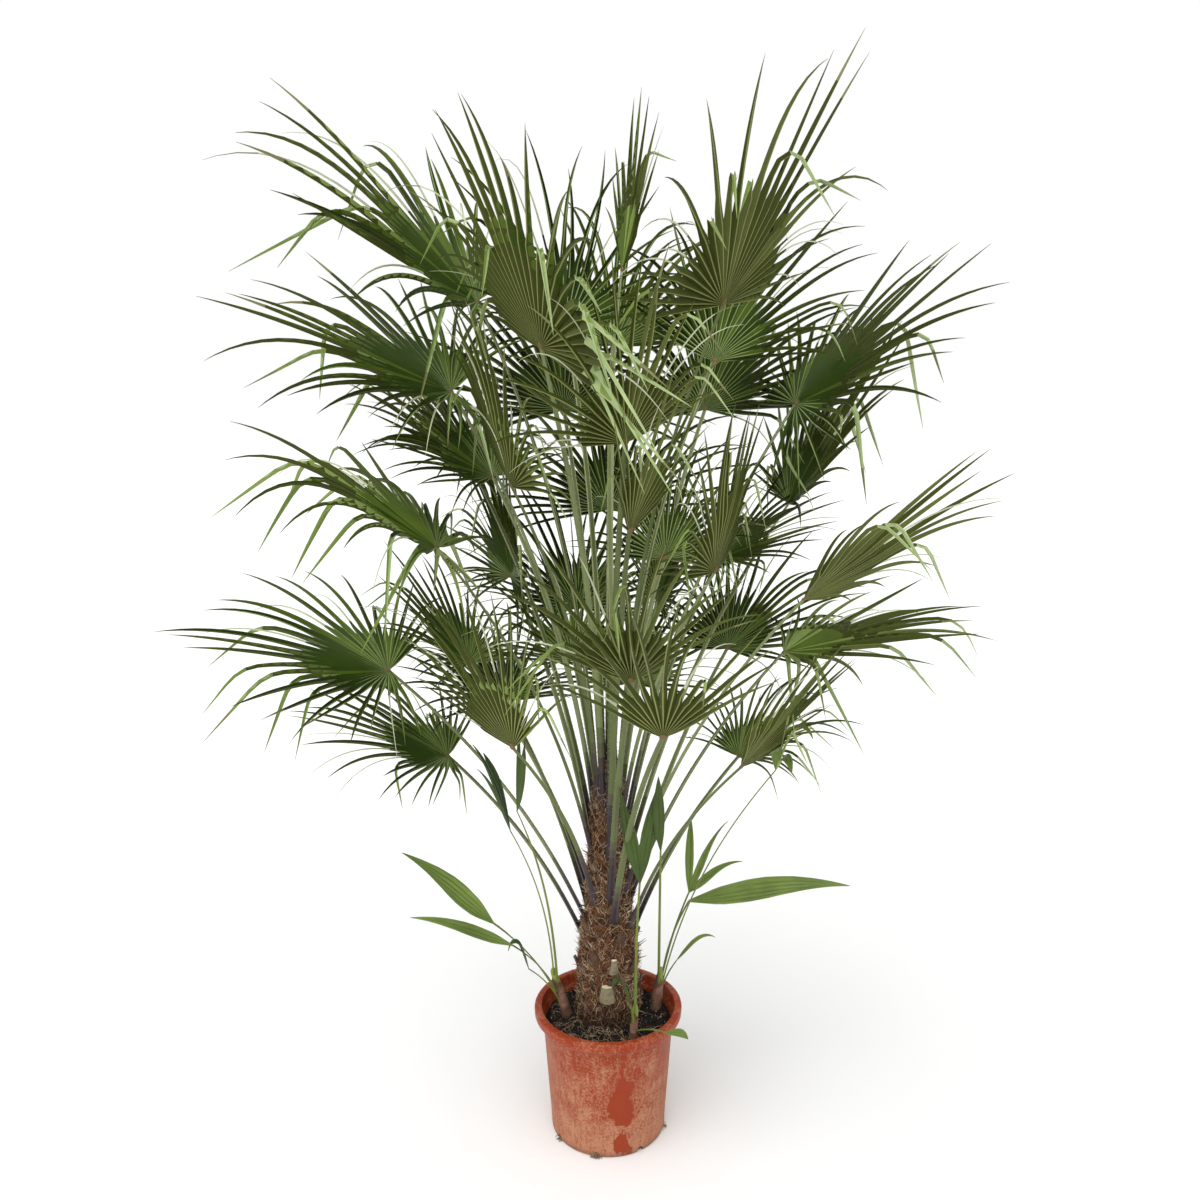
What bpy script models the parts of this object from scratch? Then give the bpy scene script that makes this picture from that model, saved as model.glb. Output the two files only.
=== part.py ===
"""Potted European fan palm: a nursery pot of soil, a fibrous trunk with its crown of fan fronds,
and three suckers with young leaves. Metres, +Z up, origin under the middle of the pot."""

import math
from typing import NamedTuple

import bmesh
import bpy
from mathutils import Vector
from mathutils.bvhtree import BVHTree

UP = Vector((0.0, 0.0, 1.0))
GAP = 0.0003

# Pot: a moulded plastic tub with a downturned lip
POT_HEIGHT = 0.287
POT_BASE_RADIUS = 0.125
POT_NECK_RADIUS = 0.141
POT_NECK_HEIGHT = 0.253
POT_LIP_RADIUS = 0.160
POT_LIP_WIDTH = 0.016
POT_LIP_DROP = 0.021
POT_WALL = 0.003
POT_SIDES = 32

# Soil: level round the trunk and the suckers, sloping down to the wall
SOIL_HEIGHT = 0.262
SOIL_LEVEL_RADIUS = 0.122
SOIL_EDGE_HEIGHT = 0.251

# Trunk: height above the soil and radius, from the flare at its foot to the tip
TRUNK_FOOT = SOIL_HEIGHT + GAP
TRUNK_PROFILE = (
    (0.000, 0.071),
    (0.030, 0.066),
    (0.115, 0.065),
    (0.188, 0.059),
    (0.244, 0.050),
    (0.294, 0.045),
    (0.364, 0.041),
    (0.434, 0.036),
    (0.530, 0.031),
    (0.575, 0.018),
)
TRUNK_SIDES = 14

# Boots: the cut bases of old fronds, set on the trunk by the golden angle
GOLDEN_ANGLE = math.radians(137.508)
BOOT_COUNT = 14
BOOT_LOWEST = 0.045
BOOT_HIGHEST = 0.210
BOOT_LENGTH = 0.048
BOOT_RADIUS = 0.0125
BOOT_TAPER = 0.72
BOOT_LEAN = math.radians(24)

# Fronds: where they leave the trunk, and the shape that all blades share
FOOT_LOWEST = 0.150
FOOT_HIGHEST = 0.530
FOOT_DEPTH = 0.80
PETIOLE_FOOT_RADIUS = 0.0072
PETIOLE_HUB_RADIUS = 0.0046
PETIOLE_ARCH = math.radians(13)
PETIOLE_HANDLE = 0.36
PETIOLE_STEPS = 6
STEEPEST = math.radians(87)
LEAFLET_PITCH = 21.0
LEAFLET_STATIONS = (0.40, 0.60, 0.80, 1.0)
LEAFLET_WIDTHS = (1.0, 0.62, 0.36, 0.0)
LEAFLET_STEPS = 10
LEAFLET_SIDE_LENGTH = 0.66
BLADE_CUP = 14.0
BLADE_THICKNESS = 0.011
BEND_FROM = 0.34
BEND_POWER = 1.6
SAG = 1.35
TWIST = 0.45
CLEARANCE = 0.0014
CUT_CLEARANCE = 0.0004


class Frond(NamedTuple):
    """One fan frond. Azimuth, reach and height place its hub, where the petiole meets the blade.

    Bearing, rise and roll turn the blade: where its middle leaflet points, and how far the blade
    is rolled about it. Cup lifts its leaflets out of the blade's plane, like the ribs of a bowl.
    Angles are in degrees, azimuth and bearing from +X towards +Y.
    """

    azimuth: float
    reach: float
    height: float
    bearing: float
    rise: float
    roll: float
    blade: float
    spread: float
    droop: float
    cup: float = BLADE_CUP


class YoungLeaf(NamedTuple):
    """One leaf of a sucker: its hub, and the few broad leaflets that it has."""

    sucker: str
    hub: tuple
    bearing: float
    rise: float
    blade: float
    leaflets: int
    spread: float
    width: float
    droop: float = 0.4
    roll: float = 0.0
    cup: float = BLADE_CUP


class Sucker(NamedTuple):
    """The sheathed stem of a sucker, from the soil to where its stalks part."""

    foot: tuple
    top: tuple
    foot_radius: float
    top_radius: float


# The crown, from the top down
CROWN = (
    Frond(62, 0.057, 1.831, 23, 77, 4, 0.34, 80, 0.15, 6),
    Frond(154, 0.298, 1.779, 190, 32, 26, 0.55, 200, 0.50),
    Frond(330, 0.242, 1.751, 303, 58, -18, 0.42, 190, 0.45, 6),
    Frond(118, 0.190, 1.730, 118, 66, 0, 0.40, 170, 0.40),
    Frond(88, 0.300, 1.700, 85, 52, 0, 0.42, 200, 0.60),
    Frond(247, 0.293, 1.666, 254, 49, 40, 0.43, 200, 0.50, 6),
    Frond(32, 0.260, 1.660, 40, 56, -20, 0.40, 170, 0.50),
    Frond(171, 0.319, 1.598, 189, 14, 24, 0.46, 230, 0.50),
    Frond(17, 0.406, 1.573, 350, 40, -22, 0.45, 240, 0.35, 5),
    Frond(105, 0.400, 1.560, 105, 58, 0, 0.45, 230, 0.50),
    Frond(58, 0.420, 1.560, 58, 52, 0, 0.45, 230, 0.60),
    Frond(276, 0.282, 1.507, 277, 55, -25, 0.33, 170, 0.35, 10),
    Frond(138, 0.420, 1.444, 186, 31, 20, 0.33, 240, 0.40),
    Frond(276, 0.340, 1.360, 340, 60, 22, 0.28, 90, 0.25),
    Frond(32, 0.477, 1.355, 5, 52, -3, 0.46, 190, 0.30),
    Frond(146, 0.300, 1.420, 154, 35, 10, 0.34, 220, 0.80),
    Frond(90, 0.450, 1.320, 90, 56, 0, 0.42, 220, 0.50),
    Frond(194, 0.341, 1.300, 185, 31, 3, 0.46, 220, 0.75, 8),
    Frond(39, 0.318, 1.238, 18, 26, -9, 0.30, 270, 0.35),
    Frond(334, 0.404, 1.215, 355, 30, 28, 0.42, 130, 0.35, 6),
    Frond(127, 0.374, 1.182, 0, 88, -29, 0.33, 240, 0.40),
    Frond(66, 0.273, 1.134, 0, 65, -23, 0.30, 200, 0.30),
    Frond(277, 0.333, 1.099, 257, 44, -8, 0.36, 120, 0.30, 10),
    Frond(100, 0.440, 1.080, 100, 50, 0, 0.38, 220, 0.50),
    Frond(12, 0.382, 1.054, 353, 11, -4, 0.42, 180, 0.35, 8),
    Frond(177, 0.458, 1.027, 185, 11, 16, 0.43, 230, 0.40, 12),
    Frond(283, 0.410, 1.019, 267, 45, -1, 0.35, 104, 0.30, 8),
    Frond(154, 0.341, 1.014, 149, 41, -5, 0.31, 220, 0.35),
    Frond(50, 0.440, 1.000, 50, 42, 0, 0.38, 220, 0.60),
    Frond(228, 0.269, 0.934, 205, 61, -26, 0.34, 130, 0.30, 10),
    Frond(82, 0.400, 0.900, 82, 42, 0, 0.36, 220, 0.50),
    Frond(128, 0.400, 0.880, 128, 36, 0, 0.34, 220, 0.60),
    Frond(335, 0.288, 0.868, 9, 39, 43, 0.31, 120, 0.25, 8),
    Frond(167, 0.357, 0.822, 185, 11, 11, 0.34, 220, 0.40),
    Frond(30, 0.340, 0.790, 30, 26, 0, 0.30, 200, 0.70),
    # Small fans deep in the crown, which fill it between the petioles
    Frond(53, 0.204, 1.241, 56, 59, 0, 0.32, 200, 0.50),
    Frond(215, 0.220, 1.420, 200, 60, 0, 0.34, 200, 0.50),
    Frond(112, 0.206, 1.008, 113, 50, 0, 0.30, 200, 0.50),
    Frond(329, 0.237, 1.259, 333, 66, 0, 0.32, 200, 0.50),
)

# Suckers: three offshoots that stand in the soil round the trunk
SUCKERS = {
    "sucker_left": Sucker((-0.088, -0.012), (-0.112, -0.014, 0.345), 0.0115, 0.0090),
    "sucker_right": Sucker((0.104, 0.022), (0.113, 0.022, 0.330), 0.0130, 0.0090),
    "sucker_front": Sucker((0.052, -0.092), (0.056, -0.094, 0.315), 0.0085, 0.0075),
}
STALK_FOOT_RADIUS = 0.0020
STALK_HUB_RADIUS = 0.0016
STALK_LOWEST = 0.30
STALK_HIGHEST = 0.95
STALK_DEPTH = 0.65
STRAP_STATIONS = (0.20, 0.50, 0.80, 1.0)
STRAP_WIDTHS = (0.75, 1.0, 0.62, 0.0)

YOUNG_LEAVES = (
    YoungLeaf("sucker_left", (-0.203, -0.050, 0.706), 180, 58, 0.20, 3, 45, 0.030),
    YoungLeaf("sucker_left", (-0.180, -0.140, 0.785), 200, 80, 0.17, 2, 36, 0.034, droop=0.2),
    YoungLeaf("sucker_left", (-0.245, -0.030, 0.489), 180, 40, 0.26, 1, 24, 0.046, droop=0.15, roll=55),
    YoungLeaf("sucker_left", (-0.200, -0.075, 0.462), 188, 18, 0.23, 1, 20, 0.030, droop=0.2, roll=40),
    YoungLeaf("sucker_left", (-0.168, -0.060, 0.400), 190, 60, 0.10, 1, 24, 0.024, droop=1.6),
    YoungLeaf("sucker_right", (0.177, 0.050, 0.499), 2, 8, 0.35, 1, 20, 0.050, droop=0.2, roll=-60),
    YoungLeaf("sucker_right", (0.182, 0.110, 0.490), 10, 60, 0.20, 3, 75, 0.022, roll=-40),
    YoungLeaf("sucker_right", (0.351, 0.000, 0.819), 0, 60, 0.17, 4, 140, 0.026, droop=1.2),
    YoungLeaf("sucker_right", (0.103, -0.160, 0.710), 300, 80, 0.15, 1, 30, 0.026, droop=0.1),
    YoungLeaf("sucker_right", (0.150, 0.030, 0.368), 5, 35, 0.11, 1, 24, 0.018, droop=0.9),
    YoungLeaf("sucker_front", (0.062, -0.170, 0.646), 280, 80, 0.22, 2, 44, 0.028, droop=0.1),
    YoungLeaf("sucker_front", (0.044, -0.130, 0.361), 200, 60, 0.09, 1, 30, 0.026, droop=1.5),
    YoungLeaf("sucker_front", (0.118, -0.140, 0.304), 320, 4, 0.058, 1, 40, 0.030, droop=0.5),
)


def material(name, colour, roughness):
    """A plain coloured surface."""
    made = bpy.data.materials.new(name)
    made.use_nodes = True
    shader = made.node_tree.nodes["Principled BSDF"]
    shader.inputs["Base Color"].default_value = (*colour, 1.0)
    shader.inputs["Roughness"].default_value = roughness
    shader.inputs["Metallic"].default_value = 0.0
    return made


def collection(name, shown=True):
    """A new collection in the scene."""
    made = bpy.data.collections.new(name)
    bpy.context.scene.collection.children.link(made)
    made.hide_render = not shown
    return made


def object_from_bmesh(name, built, group, surface=None):
    """Turns a bmesh into an object of the collection."""
    mesh = bpy.data.meshes.new(name)
    built.to_mesh(mesh)
    built.free()
    made = bpy.data.objects.new(name, mesh)
    group.objects.link(made)
    if surface:
        mesh.materials.append(surface)
    return made


def hide(helper):
    """Keeps a cutter or a joined piece out of the render."""
    helper.hide_render = True
    helper.display_type = "WIRE"


def turned(name, profile, sides, group, surface=None):
    """A closed solid of revolution about Z, from (radius, height) points, top to bottom outside."""
    built = bmesh.new()
    points = [built.verts.new((radius, 0.0, height)) for radius, height in profile]
    for first, second in zip(points, points[1:]):
        built.edges.new((first, second))
    made = object_from_bmesh(name, built, group, surface)
    screw = made.modifiers.new("turn", "SCREW")
    screw.steps = sides
    screw.render_steps = sides
    screw.use_merge_vertices = True
    screw.merge_threshold = 0.00001
    return made


def joined(name, base, others, group, surface, cutter=None):
    """base fused with the others, less the cutter, as one plain mesh object.

    MANIFOLD, because EXACT leaves open edges where a thin blade's faces graze its petiole.
    """
    for other in others:
        union = base.modifiers.new("join", "BOOLEAN")
        union.operation = "UNION"
        union.solver = "MANIFOLD"
        union.object = other
    if cutter:
        cut = base.modifiers.new("clear", "BOOLEAN")
        cut.operation = "DIFFERENCE"
        cut.solver = "MANIFOLD"
        cut.object = cutter
    graph = bpy.context.evaluated_depsgraph_get()
    mesh = bpy.data.meshes.new_from_object(base.evaluated_get(graph), depsgraph=graph)
    for helper in (base, *others):
        bpy.data.objects.remove(helper)
    mesh.name = name
    mesh.materials.clear()
    if surface:
        mesh.materials.append(surface)
    made = bpy.data.objects.new(name, mesh)
    group.objects.link(made)
    return made


def tube(name, route, radii, group, resolution=0):
    """A closed mesh tube along the route, with its own radius at each point."""
    curve = bpy.data.curves.new(name, "CURVE")
    curve.dimensions = "3D"
    curve.bevel_depth = 1.0
    curve.bevel_resolution = resolution
    curve.use_fill_caps = True
    spline = curve.splines.new("POLY")
    spline.points.add(len(route) - 1)
    for point, place, radius in zip(spline.points, route, radii):
        point.co = (*place, 1.0)
        point.radius = radius
    drawn = bpy.data.objects.new(name + "_line", curve)
    group.objects.link(drawn)
    graph = bpy.context.evaluated_depsgraph_get()
    mesh = bpy.data.meshes.new_from_object(drawn.evaluated_get(graph), depsgraph=graph)
    bpy.data.objects.remove(drawn)
    built = bmesh.new()
    built.from_mesh(mesh)
    bpy.data.meshes.remove(mesh)
    bmesh.ops.remove_doubles(built, verts=built.verts, dist=0.00002)
    bmesh.ops.recalc_face_normals(built, faces=built.faces)
    return object_from_bmesh(name, built, group)


def make_pot(group):
    """The tub: one turned wall with its floor, neck, lip and the lip's downturned skirt."""
    lip_inside = POT_LIP_RADIUS - POT_LIP_WIDTH
    skirt_foot = POT_HEIGHT - POT_LIP_DROP
    profile = (
        (0.0, POT_WALL),
        (POT_BASE_RADIUS - 2 * POT_WALL, POT_WALL),
        (POT_NECK_RADIUS - POT_WALL, POT_NECK_HEIGHT),
        (lip_inside, POT_NECK_HEIGHT + 0.010),
        (lip_inside, POT_HEIGHT - 0.001),
        (lip_inside + 0.002, POT_HEIGHT),
        (POT_LIP_RADIUS - 0.003, POT_HEIGHT),
        (POT_LIP_RADIUS, POT_HEIGHT - 0.004),
        (POT_LIP_RADIUS - 0.001, skirt_foot),
        (POT_LIP_RADIUS - POT_WALL, skirt_foot),
        (POT_LIP_RADIUS - POT_WALL, POT_HEIGHT - 0.005),
        (lip_inside + POT_WALL, POT_HEIGHT - 0.005),
        (lip_inside + POT_WALL, POT_NECK_HEIGHT + 0.008),
        (POT_NECK_RADIUS, POT_NECK_HEIGHT - 0.003),
        (POT_BASE_RADIUS, 0.004),
        (POT_BASE_RADIUS - 0.004, 0.0),
        (0.0, 0.0),
    )
    surface = material("terracotta_plastic", (0.47, 0.13, 0.06), 0.55)
    return turned("pot", profile, POT_SIDES, group, surface)


def make_soil(group):
    """The potting mix, clear of the pot's wall and floor."""
    inside = POT_NECK_RADIUS - POT_WALL
    floor_radius = POT_BASE_RADIUS - 2 * POT_WALL
    slope = (inside - floor_radius) / (POT_NECK_HEIGHT - POT_WALL)
    edge_radius = floor_radius + slope * (SOIL_EDGE_HEIGHT - POT_WALL)
    profile = (
        (0.0, SOIL_HEIGHT),
        (SOIL_LEVEL_RADIUS, SOIL_HEIGHT),
        (edge_radius - GAP, SOIL_EDGE_HEIGHT),
        (floor_radius - GAP, POT_WALL + GAP),
        (0.0, POT_WALL + GAP),
    )
    surface = material("potting_soil", (0.022, 0.014, 0.010), 0.95)
    return turned("soil", profile, POT_SIDES, group, surface)


def trunk_radius(above_foot):
    """The trunk's radius at a height above its foot."""
    for (low, wide), (high, narrow) in zip(TRUNK_PROFILE, TRUNK_PROFILE[1:]):
        if above_foot <= high:
            return wide + (narrow - wide) * (above_foot - low) / (high - low)
    return TRUNK_PROFILE[-1][1]


def trunk_profile(extra):
    """The trunk's outline from its tip down to its flat foot, grown by extra."""
    sides = [(radius + extra, TRUNK_FOOT + height) for height, radius in TRUNK_PROFILE]
    tip = (0.0, sides[-1][1] + extra)
    return (tip, *reversed(sides), (0.0, sides[0][1]))


def boot_places():
    """Foot and end of each boot, climbing the trunk by the golden angle."""
    for number in range(BOOT_COUNT):
        share = number / (BOOT_COUNT - 1)
        height = BOOT_LOWEST + (BOOT_HIGHEST - BOOT_LOWEST) * share
        out = Vector((math.cos(number * GOLDEN_ANGLE), math.sin(number * GOLDEN_ANGLE), 0.0))
        foot = out * (trunk_radius(height) - BOOT_RADIUS) + UP * (TRUNK_FOOT + height)
        yield foot, foot + (UP * math.cos(BOOT_LEAN) + out * math.sin(BOOT_LEAN)) * BOOT_LENGTH


def trunk_solid(name, extra, group, surface=None):
    """The trunk with its boots fused on, all of it grown by extra."""
    body = turned(name + "_body", trunk_profile(extra), TRUNK_SIDES, group)
    boots = []
    for number, (foot, end) in enumerate(boot_places()):
        end = end + (end - foot).normalized() * extra
        radii = (BOOT_RADIUS + extra, BOOT_RADIUS * BOOT_TAPER + extra)
        boots.append(tube(f"{name}_boot_{number:02}", (foot, end), radii, group))
    return joined(name, body, boots, group, surface)


def blade_axes(bearing, rise, roll):
    """Directions of a blade: along its middle leaflet, out of its upper side, and across it."""
    turn, lift, bank = map(math.radians, (bearing, rise, roll))
    out = Vector((math.cos(turn), math.sin(turn), 0.0))
    along = out * math.cos(lift) + UP * math.sin(lift)
    normal = UP * math.cos(lift) - out * math.sin(lift)
    normal = normal * math.cos(bank) + normal.cross(along) * math.sin(bank)
    return along, normal, normal.cross(along)


def frond_hub(frond):
    """Where a crown frond's petiole meets its blade."""
    turn = math.radians(frond.azimuth)
    return Vector((frond.reach * math.cos(turn), frond.reach * math.sin(turn), frond.height))


def frond_feet():
    """Where each petiole starts inside the trunk: the steeper a frond stands, the higher it starts."""
    middle = TRUNK_FOOT + (FOOT_LOWEST + FOOT_HIGHEST) / 2
    steepness = [math.atan2(frond.height - middle, frond.reach) for frond in CROWN]
    order = sorted(range(len(CROWN)), key=lambda number: steepness[number])
    feet = [None] * len(CROWN)
    for rank, number in enumerate(order):
        height = FOOT_LOWEST + (FOOT_HIGHEST - FOOT_LOWEST) * rank / (len(CROWN) - 1)
        turn = math.radians(CROWN[number].azimuth)
        out = Vector((math.cos(turn), math.sin(turn), 0.0))
        feet[number] = out * (trunk_radius(height) * FOOT_DEPTH) + UP * (TRUNK_FOOT + height)
    return feet


def petiole_route(foot, hub):
    """Points of a stalk that leaves its foot steeply and arches over towards its hub."""
    chord = hub - foot
    level = Vector((chord.x, chord.y, 0.0))
    slope = math.atan2(chord.z, level.length)
    out = level.normalized()
    handle = chord.length * PETIOLE_HANDLE
    start_slope = min(slope + PETIOLE_ARCH, max(STEEPEST, slope))
    end_slope = slope - PETIOLE_ARCH
    first = foot + (out * math.cos(start_slope) + UP * math.sin(start_slope)) * handle
    last = hub - (out * math.cos(end_slope) + UP * math.sin(end_slope)) * handle
    route = []
    for step in range(PETIOLE_STEPS + 1):
        t = step / PETIOLE_STEPS
        s = 1 - t
        route.append(foot * s**3 + first * 3 * s * s * t + last * 3 * s * t * t + hub * t**3)
    return route


def leaflet_line(hub, axes, angle, length, droop, cup):
    """Centre points and sideways directions of a leaflet that bends down under its own weight."""
    along, normal, side = axes
    start = (along * math.cos(angle) + side * math.sin(angle)) * math.cos(cup)
    start += normal * math.sin(cup)
    across = normal.cross(start).normalized()
    point = hub.copy()
    line = [(point.copy(), across.copy())]
    for step in range(LEAFLET_STEPS):
        share = (step + 0.5) / LEAFLET_STEPS
        bend = droop * (max(0.0, share - BEND_FROM) / (1 - BEND_FROM)) ** BEND_POWER
        heading = (start - UP * bend * SAG).normalized()
        point += heading * (length / LEAFLET_STEPS)
        level = heading.cross(UP)
        if level.length > 0.2:
            level = level.normalized() * (1 if level.dot(across) > 0 else -1)
            across = across.lerp(level, TWIST * share)
        across = (across - heading * across.dot(heading)).normalized()
        line.append((point.copy(), across.copy()))
    return line


def leaflet_stations(line, width, stations, widths):
    """Left and right edge points of a leaflet at each station, narrowing to its tip."""
    edges = []
    for share, narrow in zip(stations, widths):
        point, across = line[round(share * LEAFLET_STEPS)]
        edges.append((point - across * width * narrow / 2, point + across * width * narrow / 2))
    return edges


def leaflet_angles(count, spread):
    """The angle of each leaflet from the middle of the blade, in radians."""
    pitch = math.radians(spread) / count
    return [pitch * (number - (count - 1) / 2) for number in range(count)]


def leaflet_length(blade, angle, spread):
    """Leaflets shorten from the middle of the fan towards its two ends."""
    end = abs(angle) / math.radians(max(spread, 1.0) / 2)
    return blade * (1 - (1 - LEAFLET_SIDE_LENGTH) * end * end)


def strip_tree(edges, half_thickness):
    """A search tree of the closed box strip that runs through pairs of edge points."""
    points, faces = [], []
    for number, (left, right) in enumerate(edges):
        before = edges[max(0, number - 1)]
        after = edges[min(len(edges) - 1, number + 1)]
        heading = (after[0] + after[1] - before[0] - before[1]).normalized()
        width = right - left if (right - left).length > 1e-5 else before[1] - before[0]
        lift = width.normalized().cross(heading).normalized() * half_thickness
        grown = width.normalized() * half_thickness
        points += [left - grown + lift, right + grown + lift, right + grown - lift, left - grown - lift]
    for number in range(len(edges) - 1):
        low, high = number * 4, number * 4 + 4
        for side in range(4):
            after = (side + 1) % 4
            faces.append((low + side, low + after, high + after, high + side))
    faces += [(0, 1, 2, 3), tuple(range(len(points) - 4, len(points)))]
    return BVHTree.FromPolygons(points, faces)


def mesh_tree(made):
    """A search tree of an object's own mesh."""
    points = [vertex.co for vertex in made.data.vertices]
    faces = [tuple(face.vertices) for face in made.data.polygons]
    return BVHTree.FromPolygons(points, faces)


def web_edges(hub, rim):
    """The fan's undivided part as strips from the hub to the leaflets' roots."""
    return [[(hub, hub), pair] for pair in zip(rim, rim[1:])]


class Obstacles:
    """What a leaflet has to keep clear of, with the frond that each piece belongs to."""

    def __init__(self):
        self.pieces = []

    def add(self, owner, tree):
        self.pieces.append((owner, tree))

    def meets(self, owner, tree):
        """True if the tree crosses a piece of another owner."""
        return any(piece.overlap(tree) for other, piece in self.pieces if other != owner)


class Fan:
    """A blade in the making: its hub, axes, leaflet angles and the rim where leaflets part."""

    def __init__(self, name, hub, axes, leaf, count, shape, width=None):
        self.name, self.hub, self.axes = name, hub, axes
        self.leaflets, self.own = {}, []
        self.blade, self.spread, self.droop = leaf.blade, leaf.spread, leaf.droop
        self.cup = math.radians(leaf.cup)
        self.stations, self.widths = shape
        self.thickness = leaf.blade * BLADE_THICKNESS
        self.angles = leaflet_angles(count, leaf.spread)
        pitch = math.radians(leaf.spread) / count
        split = self.stations[0]
        self.width = width or 2 * leaf.blade * split * math.sin(pitch / 2)
        self.rim = []
        for bound in [self.angles[0] - pitch / 2] + [angle + pitch / 2 for angle in self.angles]:
            length = leaflet_length(leaf.blade, bound, leaf.spread)
            line = leaflet_line(hub, axes, bound, length, leaf.droop, self.cup)
            self.rim.append(line[round(split * LEAFLET_STEPS)][0])

    def leaflet(self, number, droop_share, length_share):
        """Edge points of one leaflet, its first pair on the rim."""
        angle = self.angles[number]
        length = leaflet_length(self.blade, angle, self.spread) * length_share
        line = leaflet_line(self.hub, self.axes, angle, length, self.droop * droop_share, self.cup)
        edges = leaflet_stations(line, self.width, self.stations, self.widths)
        edges[0] = (self.rim[number], self.rim[number + 1])
        return edges


# A leaflet that would meet another frond is tried drooping more or less, then shorter, then left out
DROOP_TRIES = (1.0, 0.6, 1.4, 0.2, 1.9)
LENGTH_TRIES = (1.0, 0.8, 0.62)


def clear_leaflet(fan, number, obstacles):
    """The first way of holding a leaflet that clears every other frond, or None."""
    for length_share in LENGTH_TRIES:
        for droop_share in DROOP_TRIES:
            edges = fan.leaflet(number, droop_share, length_share)
            tree = strip_tree(edges, fan.thickness / 2 + CLEARANCE)
            outer = strip_tree(edges[1:], fan.thickness / 2 + CLEARANCE)
            if obstacles.meets(fan.name, tree):
                continue
            if any(piece.overlap(outer) for piece in fan.own):
                continue
            obstacles.add(fan.name, strip_tree(edges, fan.thickness / 2))
            fan.own.append(strip_tree(edges[1:], fan.thickness / 2))
            return edges
    return None


def blade_surface(fan):
    """The blade as one open sheet: a web from the hub to the rim, and a strip for each leaflet."""
    built = bmesh.new()
    hub = built.verts.new(fan.hub)
    rim = [built.verts.new(point) for point in fan.rim]
    for first, second in zip(rim, rim[1:]):
        built.faces.new((hub, first, second))
    for number, edges in fan.leaflets.items():
        left, right = rim[number], rim[number + 1]
        for pair in edges[1:-1]:
            next_left, next_right = (built.verts.new(point) for point in pair)
            built.faces.new((right, left, next_left, next_right))
            left, right = next_left, next_right
        built.faces.new((right, left, built.verts.new(edges[-1][0])))
    return built


def make_leaf(fan, petiole, obstacles, group, helpers, surface, cutter):
    """One frond: its leaflets fitted in, thickened, fused to its petiole and cut clear of its stem."""
    middle_out = sorted(range(len(fan.angles)), key=lambda number: abs(fan.angles[number]))
    for number in middle_out:
        edges = clear_leaflet(fan, number, obstacles)
        if edges:
            fan.leaflets[number] = edges
    blade = object_from_bmesh(fan.name + "_blade", blade_surface(fan), helpers)
    solidify = blade.modifiers.new("thickness", "SOLIDIFY")
    solidify.thickness = fan.thickness
    solidify.offset = 0.0
    return joined(fan.name, petiole, [blade], group, surface, cutter)


def tapering(first, last, count):
    """Radii that narrow evenly along a stalk."""
    return [first + (last - first) * step / (count - 1) for step in range(count)]


def crown_fans(helpers, obstacles):
    """The fans and petioles of the crown, with every petiole and web entered as an obstacle."""
    fans = []
    for number, (frond, foot) in enumerate(zip(CROWN, frond_feet()), 1):
        name = f"frond_{number:02}"
        axes = blade_axes(frond.bearing, frond.rise, frond.roll)
        count = round(frond.spread / LEAFLET_PITCH)
        hub = frond_hub(frond)
        fan = Fan(name, hub, axes, frond, count, (LEAFLET_STATIONS, LEAFLET_WIDTHS))
        route = petiole_route(foot, hub)
        radii = tapering(PETIOLE_FOOT_RADIUS, PETIOLE_HUB_RADIUS, len(route))
        petiole = tube(name + "_petiole", route, radii, helpers)
        fans.append(enter_fan(fan, petiole, obstacles))
    return fans


def young_fans(helpers, obstacles):
    """The young leaves of the suckers, with their stalks entered as obstacles."""
    fans = []
    for number, (leaf, foot) in enumerate(zip(YOUNG_LEAVES, stalk_feet()), 1):
        name = f"young_leaf_{number:02}"
        axes = blade_axes(leaf.bearing, leaf.rise, leaf.roll)
        hub = Vector(leaf.hub)
        shape = (STRAP_STATIONS, STRAP_WIDTHS)
        fan = Fan(name, hub, axes, leaf, leaf.leaflets, shape, leaf.width)
        route = petiole_route(foot, hub)
        radii = tapering(STALK_FOOT_RADIUS, STALK_HUB_RADIUS, len(route))
        petiole = tube(name + "_stalk", route, radii, helpers)
        fans.append(enter_fan(fan, petiole, obstacles))
    return fans


def stalk_feet():
    """Where each stalk starts inside its sucker: the steeper it stands, the higher it starts."""
    feet = [None] * len(YOUNG_LEAVES)
    for name, sucker in SUCKERS.items():
        foot, top = sucker_line(sucker)
        slopes = {}
        for number, leaf in enumerate(YOUNG_LEAVES):
            if leaf.sucker == name:
                chord = Vector(leaf.hub) - top
                slopes[number] = chord.z / chord.xy.length
        for rank, number in enumerate(sorted(slopes, key=slopes.get)):
            share = STALK_LOWEST + (STALK_HIGHEST - STALK_LOWEST) * rank / (len(slopes) - 1)
            out = Vector(YOUNG_LEAVES[number].hub) - top
            level = Vector((out.x, out.y, 0.0)).normalized()
            feet[number] = foot.lerp(top, share) + level * sucker.top_radius * STALK_DEPTH
    return feet


def enter_fan(fan, petiole, obstacles):
    """Enters a frond's petiole and web as obstacles to every other frond."""
    obstacles.add(fan.name, mesh_tree(petiole))
    for edges in web_edges(fan.hub, fan.rim):
        obstacles.add(fan.name, strip_tree(edges, fan.thickness / 2 + CLEARANCE))
    return fan, petiole


def sucker_line(sucker):
    """The foot of a sucker's stem on the soil, and its top."""
    return Vector((*sucker.foot, TRUNK_FOOT)), Vector(sucker.top)


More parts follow.
